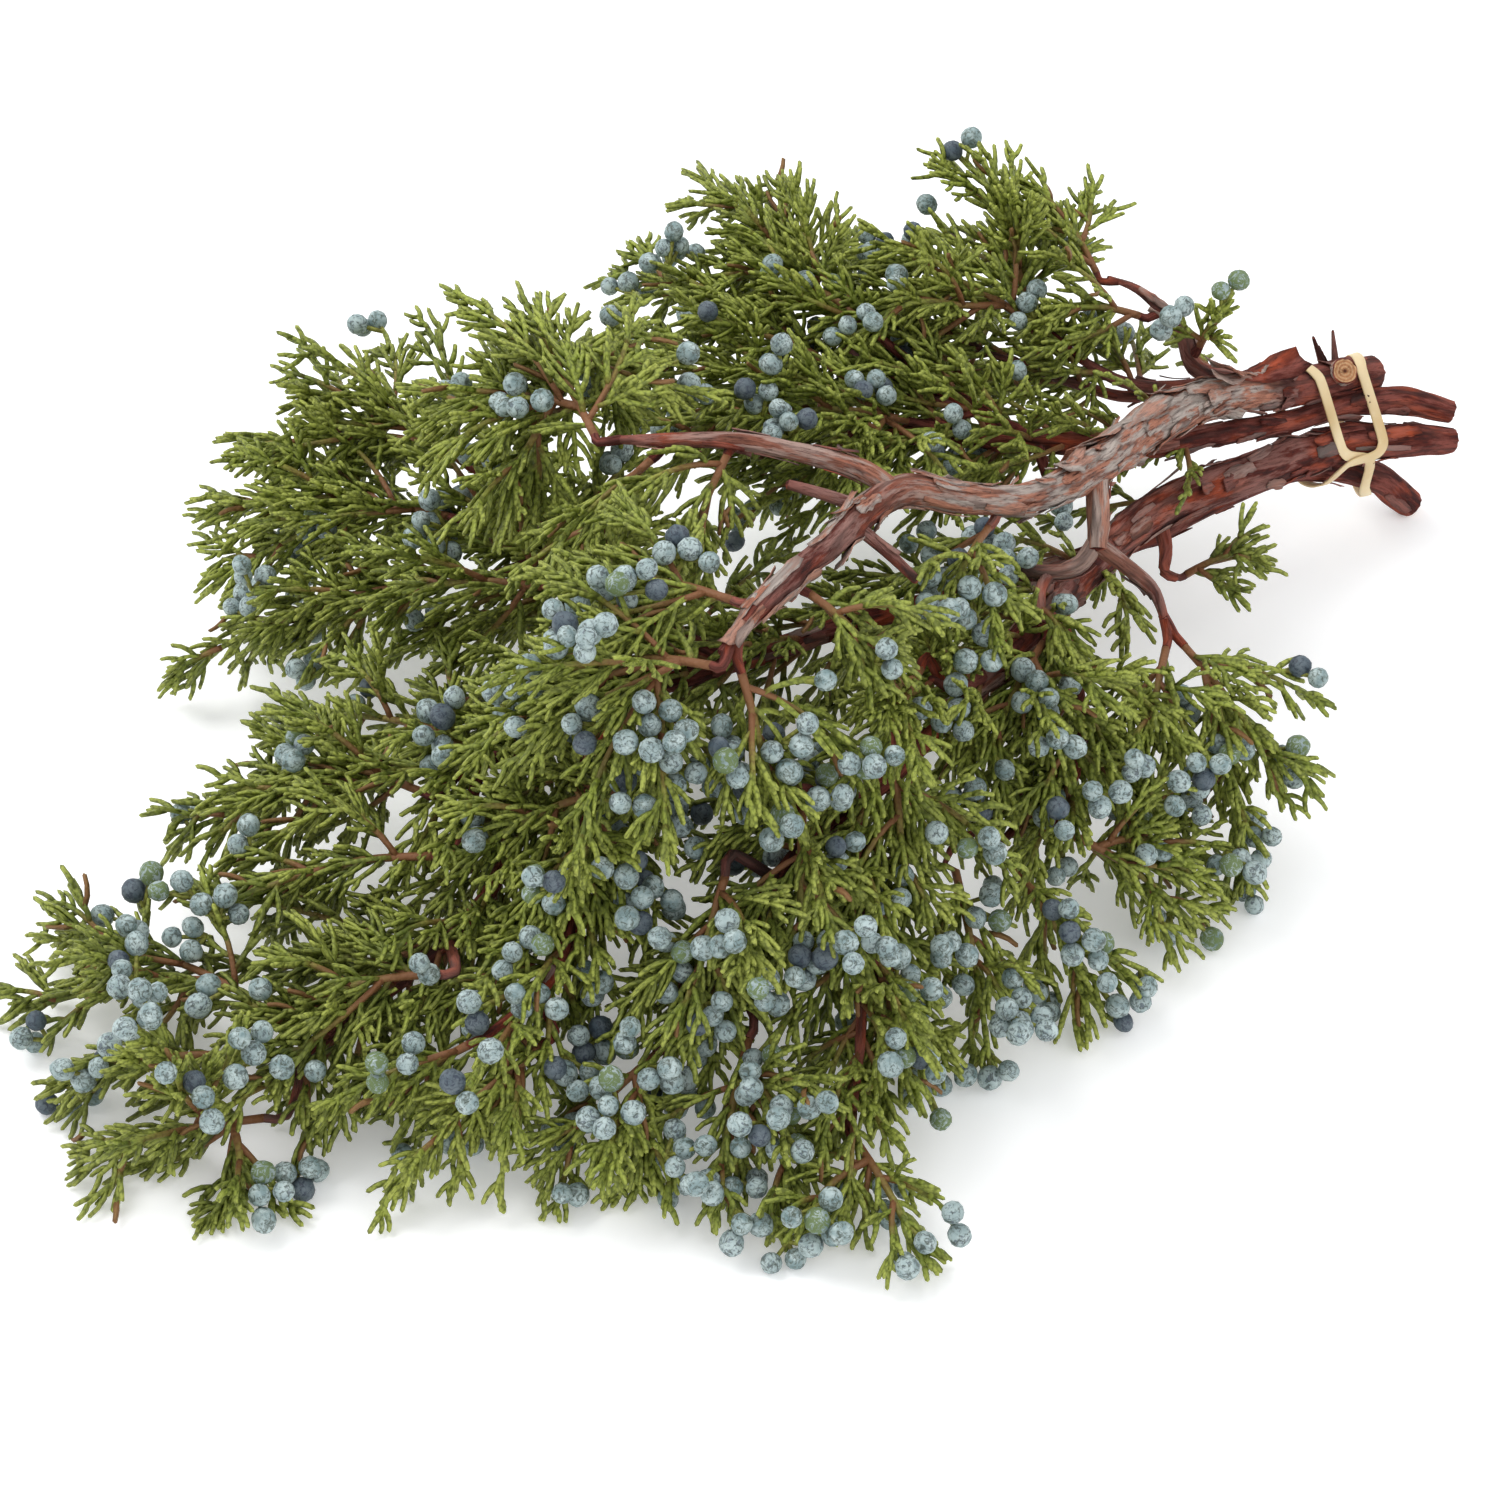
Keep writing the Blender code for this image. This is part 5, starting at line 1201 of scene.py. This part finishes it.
def add_flake(pile, stem, rng, start, turn, size, width, lift):
    """One strip from start, size long and width wide in millimetres, whose far end stands off by lift."""
    centres, _, side, above, s = stem["frames"]
    line, bark = stem["line"], stem["bark"]
    across, along = FLAKE_POINTS_ACROSS, FLAKE_POINTS_ALONG
    u = np.linspace(0, 1, along)
    at = np.clip(start + u * size, 0, s[-1])
    lifted = u if rng.random() < 0.5 else u[::-1]

    def read(values):
        return np.stack([np.interp(at, s, values[:, k]) for k in range(values.shape[1])], 1)

    c, sd, ab = read(centres), normalised(read(side)), normalised(read(above))
    r = np.interp(at, s, line[:, 3])
    v = np.linspace(-1, 1, across)
    bulge = 0.45 + 0.55 * np.sin(np.pi * np.clip(u, 0.02, 0.98)) ** 0.6
    wide = width * bulge * rng.uniform(0.75, 1.25, along)
    drift = rng.uniform(-0.25, 0.25)
    theta = turn + drift * u[:, None] + (wide / 2 / r)[:, None] * v
    spans = np.broadcast_to(at[:, None], theta.shape)
    surface = r[:, None] * 0.99 + bark.height(spans, theta) * (r / stem["radius"])[:, None]
    gap = FLAKE_GAP + lift * lifted[:, None] ** 2.2 + 0.25 * lift * lifted[:, None] * v**2
    around = np.cos(theta)[..., None] * sd[:, None] + np.sin(theta)[..., None] * ab[:, None]
    low = c[:, None] + (surface + gap)[..., None] * around
    high = c[:, None] + (surface + gap + FLAKE_THICKNESS)[..., None] * around
    vertices = np.concatenate([low.reshape(-1, 3), high.reshape(-1, 3)])
    vertices[:, 2] = np.maximum(vertices[:, 2], 0.05)
    half = along * across
    a = (np.arange(along - 1)[:, None] * across + np.arange(across - 1)).ravel()
    top = np.stack([a + half, a + half + across, a + half + across + 1, a + half + 1], -1)
    under = np.stack([a, a + 1, a + across + 1, a + across], -1)
    number = np.arange(half).reshape(along, across)
    rim = [number[0], number[1:, -1], number[-1, -2::-1], number[-2:0:-1, 0]]
    rim = np.concatenate(rim)
    after = np.roll(rim, -1)
    walls = np.stack([rim, rim + half, after + half, after], -1)
    grain = np.stack([spans, surface * np.cos(theta), surface * np.sin(theta)], -1)
    grain = np.concatenate([grain.reshape(-1, 3)] * 2) + rng.uniform(*GRAIN_SHIFT, 3)
    age = stem["age"] * rng.uniform(0.7, 1.5) * np.interp(start, CUT_END_RED, (0.25, 1.0))
    tone = rng.uniform(0.35, 1.0)
    age, tone = np.full(1, np.clip(age, 0, 1)), np.full(1, tone)
    pile.add(vertices, [top, under, walls], grain=grain, age=age, tone=tone)


def stem_piece(stem, sprays, rng, materials):
    """One stem with its branches, the wood twigs to its sprays and its loose bark."""
    pile = Pile()
    built = [
        add_stem_path(pile, path, rng, BARK_AGE[stem], name in CUT_STARTS, name in CUT_ENDS)
        for name, path in STEMS[stem].items()
    ]
    for spray in sprays:
        if spray["stem"] == stem:
            line = np.array(twig_to_spray(spray))
            radii = np.linspace(spray["twig_radius"], CORE_ROOT_RADIUS + 0.2, len(line))
            add_stem_path(pile, np.column_stack([line, radii]), rng, 0.15, False, False)
    add_flakes(pile, built, FLAKES[stem], rng)
    if stem == "upper_stem":
        for start, turn, size, width, lift in CURLS:
            add_flake(pile, built[0], rng, start, turn, size, width, lift)
    return pile.piece(stem + "_bark", materials, [stem])


# Rubber band


def stem_section(path, x):
    """Centre and radius of a stem where it crosses the plane at x, as (y, z, radius)."""
    points = sorted(path, key=lambda p: p[0])
    xs = [p[0] for p in points]
    y, z, radius = (float(np.interp(x, xs, [p[k] for p in points])) for k in (1, 2, 3))
    ahead = [float(np.interp(x + 2, xs, [p[k] for p in points])) for k in (1, 2)]
    slope = math.hypot(ahead[0] - y, ahead[1] - z) / 2
    return y, z, radius * math.sqrt(1 + slope**2)


def band_centre(turn):
    """Point on the band and its outward direction after it has been wound by the given angle."""
    wound = turn / 2
    swing = math.copysign(abs(math.sin(wound)) ** BAND_SWING_POWER, math.sin(wound))
    x = BAND_PLACE + BAND_SPREAD * swing
    angle = BAND_CROSSING_ANGLE + turn
    normal = np.array([math.cos(angle), math.sin(angle)])
    places = [x + step * BAND_WIDTH for step in BAND_TRIED_WIDTHS]
    sections = [stem_section(path_points(path), place) for path in BOUND_PATHS for place in places]
    out = max(float(np.dot(section[:2], normal)) + section[2] for section in sections)
    across = np.array([-normal[1], normal[0]])
    lift = BAND_LIFT * math.exp(-(((turn - 2 * math.pi) / BAND_LIFT_REACH) ** 4))
    place = normal * (out + CLEARANCE + BAND_THICKNESS / 2 + lift) + across * band_shift(x, normal, across)
    return np.array([x, place[0], place[1]]), np.array([0.0, normal[0], normal[1]])


def band_shift(x, normal, across):
    """How far round the bundle the touched stem's middle lies, so that the band turns about that stem."""
    sections = [stem_section(path_points(path), x) for path in BOUND_PATHS]
    touched = max(sections, key=lambda section: float(np.dot(section[:2], normal)) + section[2])
    return float(np.dot(touched[:2], across))


def band_rings(centres):
    """Rounded cross sections of the ribbon along its closed line of (point, outward) pairs."""
    points = np.array([point for point, _ in centres])
    outward = np.array([normal for _, normal in centres])
    count = len(points)
    for _ in range(BAND_SMOOTHINGS):
        points = 0.5 * points + 0.25 * (np.roll(points, 1, 0) + np.roll(points, -1, 0))
        outward = normalised(0.5 * outward + 0.25 * (np.roll(outward, 1, 0) + np.roll(outward, -1, 0)))
    ahead = normalised(np.roll(points, -1, 0) - np.roll(points, 1, 0))
    across = normalised(np.cross(ahead, outward))
    outward = np.cross(across, ahead)
    turn = 2 * np.pi * np.arange(count) / count
    wide = BAND_WIDTH / 2 * (1 + 0.05 * np.sin(3 * turn) + 0.03 * np.sin(11 * turn + 1))
    bow = 0.12 * np.sin(5 * turn + 0.5)
    rings = []
    for a, b in BAND_SECTION:
        lift = b * BAND_THICKNESS / 2 + bow * (1 - a * a)
        rings.append(points + across * (a * wide)[:, None] + outward * lift[:, None])
    return np.stack(rings, 1)


def band_piece(materials):
    """The closed ribbon, wound twice round the stems."""
    steps = BAND_STEPS
    rings = band_rings([band_centre(4 * math.pi * k / steps) for k in range(steps)])
    sides = rings.shape[1]
    k = np.arange(steps)[:, None] * sides
    after = (np.arange(steps)[:, None] + 1) % steps * sides
    j = np.arange(sides)
    quads = np.stack([k + j, k + (j + 1) % sides, after + (j + 1) % sides, after + j], -1).reshape(-1, 4)
    vertices = rings.reshape(-1, 3)
    edge = np.abs([a for a, _ in BAND_SECTION])
    pile = Pile()
    pile.add(vertices, [quads], edge=np.tile(edge, steps))
    return pile.piece("rubber_band_ribbon", materials, ["rubber_band"])


# Materials


def linear(*screen):
    """A colour given as red, green and blue from 0 to 255 on a screen, as linear values."""
    return tuple(((c / 255 + 0.055) / 1.055) ** 2.4 for c in screen)


LEAF_DARK = linear(70, 84, 30)
LEAF_MID = linear(138, 152, 56)
LEAF_LIGHT = linear(192, 198, 98)
LEAF_BROWN = linear(128, 86, 56)
LEAF_GAP_SHADE = linear(70, 78, 26)
BLOOM_DEEP = linear(112, 134, 136)
BLOOM_PALE = linear(184, 199, 198)
BERRY_SKIN = linear(60, 68, 50)
BERRY_NAVY = linear(34, 42, 66)
BERRY_GREEN = linear(104, 122, 66)
BARK_GREY = linear(182, 166, 156)
BARK_PALE = linear(212, 200, 190)
BARK_RED = linear(138, 56, 42)
BARK_ORANGE = linear(198, 88, 52)
BARK_BROWN = linear(150, 96, 76)
BARK_SALMON = linear(204, 138, 112)
BARK_MAROON = linear(66, 28, 24)
BARK_CRACK_SHADE = linear(48, 24, 20)
CUT_WOOD = linear(168, 112, 74)
CUT_PALE = linear(208, 170, 128)
CUT_DARK = linear(86, 46, 32)
LATEX_LIGHT = linear(232, 214, 176)
LATEX_DEEP = linear(198, 170, 122)
FLOOR_WHITE = (0.9, 0.9, 0.905)
FLOOR_GLOW = 0.24
FLOOR_HALF_WIDTH = 12.0


class Shader:
    """A material whose nodes are added and joined by short calls."""

    def __init__(self, name, roughness, specular=0.35):
        self.material = bpy.data.materials.new(name)
        self.material.use_nodes = True
        self.tree = self.material.node_tree
        self.surface = self.tree.nodes["Principled BSDF"]
        self.surface.inputs["Roughness"].default_value = roughness
        self.surface.inputs["Specular IOR Level"].default_value = specular

    def node(self, kind, inputs=(), **settings):
        made = self.tree.nodes.new(kind)
        for key, value in settings.items():
            setattr(made, key, value)
        for key, value in dict(inputs).items():
            self.put(made.inputs[key], value)
        return made

    def put(self, socket, value):
        if isinstance(value, bpy.types.NodeSocket):
            self.tree.links.new(value, socket)
        elif isinstance(value, tuple) and len(value) == 3 and socket.type == "RGBA":
            socket.default_value = (*value, 1.0)
        else:
            socket.default_value = value

    def attribute(self, name, output="Fac"):
        return self.node("ShaderNodeAttribute", attribute_name=name).outputs[output]

    def place(self):
        return self.node("ShaderNodeTexCoord").outputs["Object"]

    def stretched(self, vector, scale):
        return self.node("ShaderNodeMapping", {"Vector": vector, "Scale": scale}).outputs["Vector"]

    def noise(self, vector, scale, detail=3.0, roughness=0.55, distortion=0.0):
        inputs = {"Vector": vector, "Scale": scale, "Detail": detail, "Roughness": roughness}
        inputs["Distortion"] = distortion
        return self.node("ShaderNodeTexNoise", inputs).outputs["Fac"]

    def cells(self, vector, scale, feature="F1"):
        inputs = {"Vector": vector, "Scale": scale}
        return self.node("ShaderNodeTexVoronoi", inputs, feature=feature).outputs["Distance"]

    def ranged(self, value, low, high, to_low=0.0, to_high=1.0):
        inputs = {"Value": value, "From Min": low, "From Max": high, "To Min": to_low, "To Max": to_high}
        return self.node("ShaderNodeMapRange", inputs).outputs["Result"]

    def times(self, a, b):
        return self.node("ShaderNodeMath", {0: a, 1: b}, operation="MULTIPLY").outputs[0]

    def mix(self, share, a, b):
        made = self.node("ShaderNodeMix", data_type="RGBA")
        self.put(made.inputs["Factor"], share)
        self.put(made.inputs[6], a)
        self.put(made.inputs[7], b)
        return made.outputs[2]

    def colour(self, value):
        self.put(self.surface.inputs["Base Color"], value)

    def roughness(self, value):
        self.put(self.surface.inputs["Roughness"], value)

    def bump(self, height, strength, distance):
        inputs = {"Height": height, "Strength": strength, "Distance": distance}
        self.put(self.surface.inputs["Normal"], self.node("ShaderNodeBump", inputs).outputs["Normal"])


def leaf_material():
    """Scale leaves: pale scales, painted shade in their gaps and deep in the bunch, yellow-green tips,
    brown if woody.
    """
    s = Shader("scale_leaf", 0.58, 0.3)
    tone, young, woody = s.attribute("tone"), s.attribute("young"), s.attribute("woody")
    place = s.place()
    patches = s.noise(place, 45.0, 2.0)
    # Tone darkens towards LEAF_DARK: random tone, and on the foliage painted shade for the twigs deep in
    # the bunch.
    shade = s.mix(s.ranged(tone, 0.1, 0.9), LEAF_DARK, LEAF_MID)
    shade = s.mix(s.times(s.ranged(patches, 0.35, 0.7), 0.45), shade, LEAF_LIGHT)
    shade = s.mix(s.times(s.ranged(young, 0.3, 0.95), 0.5), shade, LEAF_LIGHT)
    scales = s.cells(place, 640.0)
    # Painted shade in the gaps between the scale leaves, where the bump sinks.
    shade = s.mix(s.ranged(scales, 0.42, 0.8, 0.0, 0.75), shade, LEAF_GAP_SHADE)
    s.colour(s.mix(woody, shade, LEAF_BROWN))
    s.bump(s.ranged(scales, 0.0, 0.8, 1.0, 0.0), 0.7, 0.0004)
    return s.material


def berry_material():
    """Berry skin under a blue bloom that is rubbed off in patches."""
    s = Shader("berry", 0.6, 0.35)
    tone, kind = s.attribute("tone"), s.attribute("kind")
    spot = s.attribute("spot", "Vector")
    clouds = s.noise(spot, 0.22, 2.0)
    mottle = s.noise(spot, 0.42, 6.0, 0.7, 1.4)
    veins = s.cells(s.stretched(spot, (1.0, 1.0, 0.55)), 0.5, "DISTANCE_TO_EDGE")
    bloom = s.mix(s.ranged(clouds, 0.35, 0.68), BLOOM_DEEP, BLOOM_PALE)
    bloom = s.mix(s.times(s.ranged(tone, 0.0, 1.0), 0.45), bloom, BLOOM_PALE)
    skin = s.mix(tone, BERRY_SKIN, BERRY_NAVY)
    bare = s.ranged(mottle, 0.5, 0.58)
    cracked = s.times(s.ranged(veins, 0.02, 0.12, 1.0, 0.0), s.ranged(mottle, 0.4, 0.55))
    skinned = s.mix(s.times(bare, 0.7), bloom, skin)
    skinned = s.mix(s.times(cracked, 0.6), skinned, BERRY_SKIN)
    skinned = s.mix(s.ranged(kind, 0.2, 0.5, 0.0, 0.72), skinned, BERRY_NAVY)
    s.colour(s.mix(s.ranged(kind, 0.6, 1.0, 0.0, 0.8), skinned, s.mix(bare, BERRY_GREEN, bloom)))
    s.roughness(s.ranged(bare, 0.0, 1.0, 0.72, 0.42))
    s.bump(clouds, 0.1, 0.0006)
    return s.material


def bark_material():
    """Bark from its own coordinates: fibres along the stem, grey flakes over red inner bark, painted shade
    in its hollows.
    """
    s = Shader("bark", 0.82, 0.25)
    age, tone = s.attribute("age"), s.attribute("tone")
    grain = s.attribute("grain", "Vector")
    fibres = s.noise(s.stretched(grain, (0.11, 1.0, 1.0)), 1.3, 8.0, 0.7)
    strips = s.noise(s.stretched(grain, (0.2, 1.0, 1.0)), 0.24, 5.0, 0.6)
    cracks = s.cells(s.stretched(grain, (0.13, 1.0, 1.0)), 0.42)
    patches = s.noise(s.stretched(grain, (0.3, 1.0, 1.0)), 0.13, 3.0)
    young = s.mix(s.ranged(strips, 0.38, 0.58), BARK_MAROON, BARK_RED)
    young = s.mix(s.times(s.ranged(patches, 0.5, 0.66), 0.7), young, BARK_ORANGE)
    old = s.mix(s.ranged(fibres, 0.35, 0.6), BARK_BROWN, BARK_SALMON)
    inner = s.mix(s.ranged(age, 0.45, 0.8), young, old)
    outer = s.mix(s.ranged(fibres, 0.3, 0.7), BARK_GREY, BARK_PALE)
    outer = s.mix(s.ranged(strips, 0.62, 0.4, 0.0, 0.4), outer, BARK_RED)
    cover = s.ranged(strips, 0.46, 0.53, 0.0, 1.0)
    cover = s.times(cover, s.ranged(age, 0.3, 0.95, 0.08, 1.0))
    colour = s.mix(cover, inner, outer)
    # Maroon where the fibres sink: partly the inner bark's own colour, partly painted shade in the grooves
    # between the fibres.
    colour = s.mix(s.ranged(fibres, 0.46, 0.34, 0.0, 0.85), colour, BARK_MAROON)
    # Painted shade in the cracks of the bark, which the bump sinks.
    colour = s.mix(s.ranged(cracks, 0.55, 0.8, 0.0, 0.7), colour, BARK_CRACK_SHADE)
    s.colour(s.mix(s.times(s.ranged(tone, 0.5, 1.0), 0.25), colour, BARK_PALE))
    s.bump(s.times(fibres, s.ranged(cracks, 0.45, 0.85, 1.0, 0.2)), 1.0, 0.0022)
    return s.material


def cut_material():
    """Cut wood: rings, rays and a dark pith."""
    s = Shader("cut_wood", 0.78, 0.2)
    grain = s.attribute("grain", "Vector")
    distance = s.node("ShaderNodeVectorMath", {0: grain}, operation="LENGTH").outputs["Value"]
    rings = s.node("ShaderNodeMath", {0: s.times(distance, 4.6)}, operation="SINE").outputs[0]
    rough = s.noise(grain, 0.9, 5.0)
    face = s.mix(s.ranged(rings, -1.0, 1.0, 0.1, 0.75), CUT_WOOD, CUT_PALE)
    face = s.mix(s.ranged(rough, 0.4, 0.7, 0.0, 0.5), face, CUT_DARK)
    s.colour(s.mix(s.ranged(distance, 1.1, 0.5), face, CUT_DARK))
    s.bump(rough, 0.6, 0.0008)
    return s.material


def latex_material():
    """Cream rubber, a little darker along its edges, dusty."""
    s = Shader("latex", 0.5, 0.4)
    place = s.place()
    dust = s.noise(place, 190.0, 4.0)
    cloud = s.noise(place, 28.0, 2.0)
    shade = s.mix(s.ranged(cloud, 0.35, 0.65), LATEX_LIGHT, LATEX_DEEP)
    shade = s.mix(s.ranged(s.attribute("edge"), 0.8, 1.0, 0.0, 0.45), shade, LATEX_DEEP)
    s.colour(s.mix(s.ranged(dust, 0.55, 0.75, 0.0, 0.35), shade, LATEX_LIGHT))
    s.surface.inputs["Subsurface Weight"].default_value = 0.15
    s.surface.inputs["Subsurface Radius"].default_value = (0.002, 0.0012, 0.0006)
    s.surface.inputs["Subsurface Scale"].default_value = 1.0
    s.bump(dust, 0.15, 0.0003)
    return s.material


def floor_material():
    """A white table, all but even."""
    s = Shader("white_table", 0.75, 0.2)
    soft = s.noise(s.place(), 3.0, 2.0)
    s.colour(s.mix(s.ranged(soft, 0.3, 0.7), FLOOR_WHITE, tuple(0.985 * c for c in FLOOR_WHITE)))
    s.surface.inputs["Emission Color"].default_value = (1.0, 1.0, 1.0, 1.0)
    s.surface.inputs["Emission Strength"].default_value = FLOOR_GLOW
    return s.material


# Surroundings


def add_floor():
    """A wide flat floor at height nought."""
    half = FLOOR_HALF_WIDTH
    corners = [(-half, -half, 0), (half, -half, 0), (half, half, 0), (-half, half, 0)]
    mesh = bpy.data.meshes.new("floor")
    mesh.from_pydata(corners, [], [(0, 1, 2, 3)])
    mesh.materials.append(floor_material())
    floor = bpy.data.objects.new("floor", mesh)
    bpy.context.scene.collection.objects.link(floor)


def aimed(made, place, target):
    """Puts a lamp or camera in its place, pointed at the target."""
    made.location = place
    made.rotation_euler = (Vector(target) - Vector(place)).to_track_quat("-Z", "Y").to_euler()
    bpy.context.scene.collection.objects.link(made)


def add_lights():
    """A bright even surround with two large soft lamps."""
    world = bpy.data.worlds.new("studio")
    world.use_nodes = True
    background = world.node_tree.nodes["Background"]
    background.inputs["Color"].default_value = (*WORLD_COLOUR, 1.0)
    background.inputs["Strength"].default_value = WORLD_STRENGTH
    bpy.context.scene.world = world
    for name, place, size, power in LAMPS:
        lamp = bpy.data.lights.new(name, "AREA")
        lamp.shape = "SQUARE"
        lamp.size = size
        lamp.energy = power
        aimed(bpy.data.objects.new(name, lamp), place, LAMP_TARGET)


def add_camera():
    """A camera at the photo's viewing angle."""
    camera = bpy.data.cameras.new("photo")
    camera.lens = CAMERA_LENS
    camera.sensor_width = SENSOR_WIDTH
    a, e = CAMERA_AZIMUTH, CAMERA_ELEVATION
    way = np.array((math.sin(a) * math.cos(e), -math.cos(a) * math.cos(e), math.sin(e)))
    made = bpy.data.objects.new("photo", camera)
    aimed(made, to_metres(CAMERA_TARGET + CAMERA_DISTANCE * way), to_metres(CAMERA_TARGET))
    bpy.context.scene.camera = made


# The whole bunch


def build_bunch():
    """Grows the whole bunch: twigs first, then berries, then the small twigs round them."""
    rng = np.random.default_rng(SEED)
    sprays = lay_out()
    relax(sprays)
    wood = wood_segments(sprays)
    shoots = grow_shoots(sprays, rng, wood)
    growths = [grow_laterals(spray, own, rng, wood) for spray, own in zip(sprays, shoots)]
    twig_points = np.concatenate([g[key].reshape(-1, 3) for g in growths for key in ("axes", "lines")])
    twig_tree = tree_of(twig_points)
    taken = []
    placed = [place_berries(spray, g, rng, taken, twig_tree, wood) for spray, g in zip(sprays, growths)]
    berries = tree_of([centre for centre, _ in taken])
    leaf, berry_skin = leaf_material(), berry_material()
    for spray, growth, own in zip(sprays, growths, placed):
        grow_twiglets(growth, rng, berries, wood)
        foliage_piece(spray, growth, rng, [leaf])
        berry_piece(spray, own, rng, [berry_skin, leaf])
    bark, cut = bark_material(), cut_material()
    for stem in STEMS:
        stem_piece(stem, sprays, rng, [bark, cut])
    band_piece([latex_material()])


build_bunch()
add_floor()
add_lights()
add_camera()

scene = bpy.context.scene
scene.view_settings.view_transform = "Standard"
scene.view_settings.look = "None"
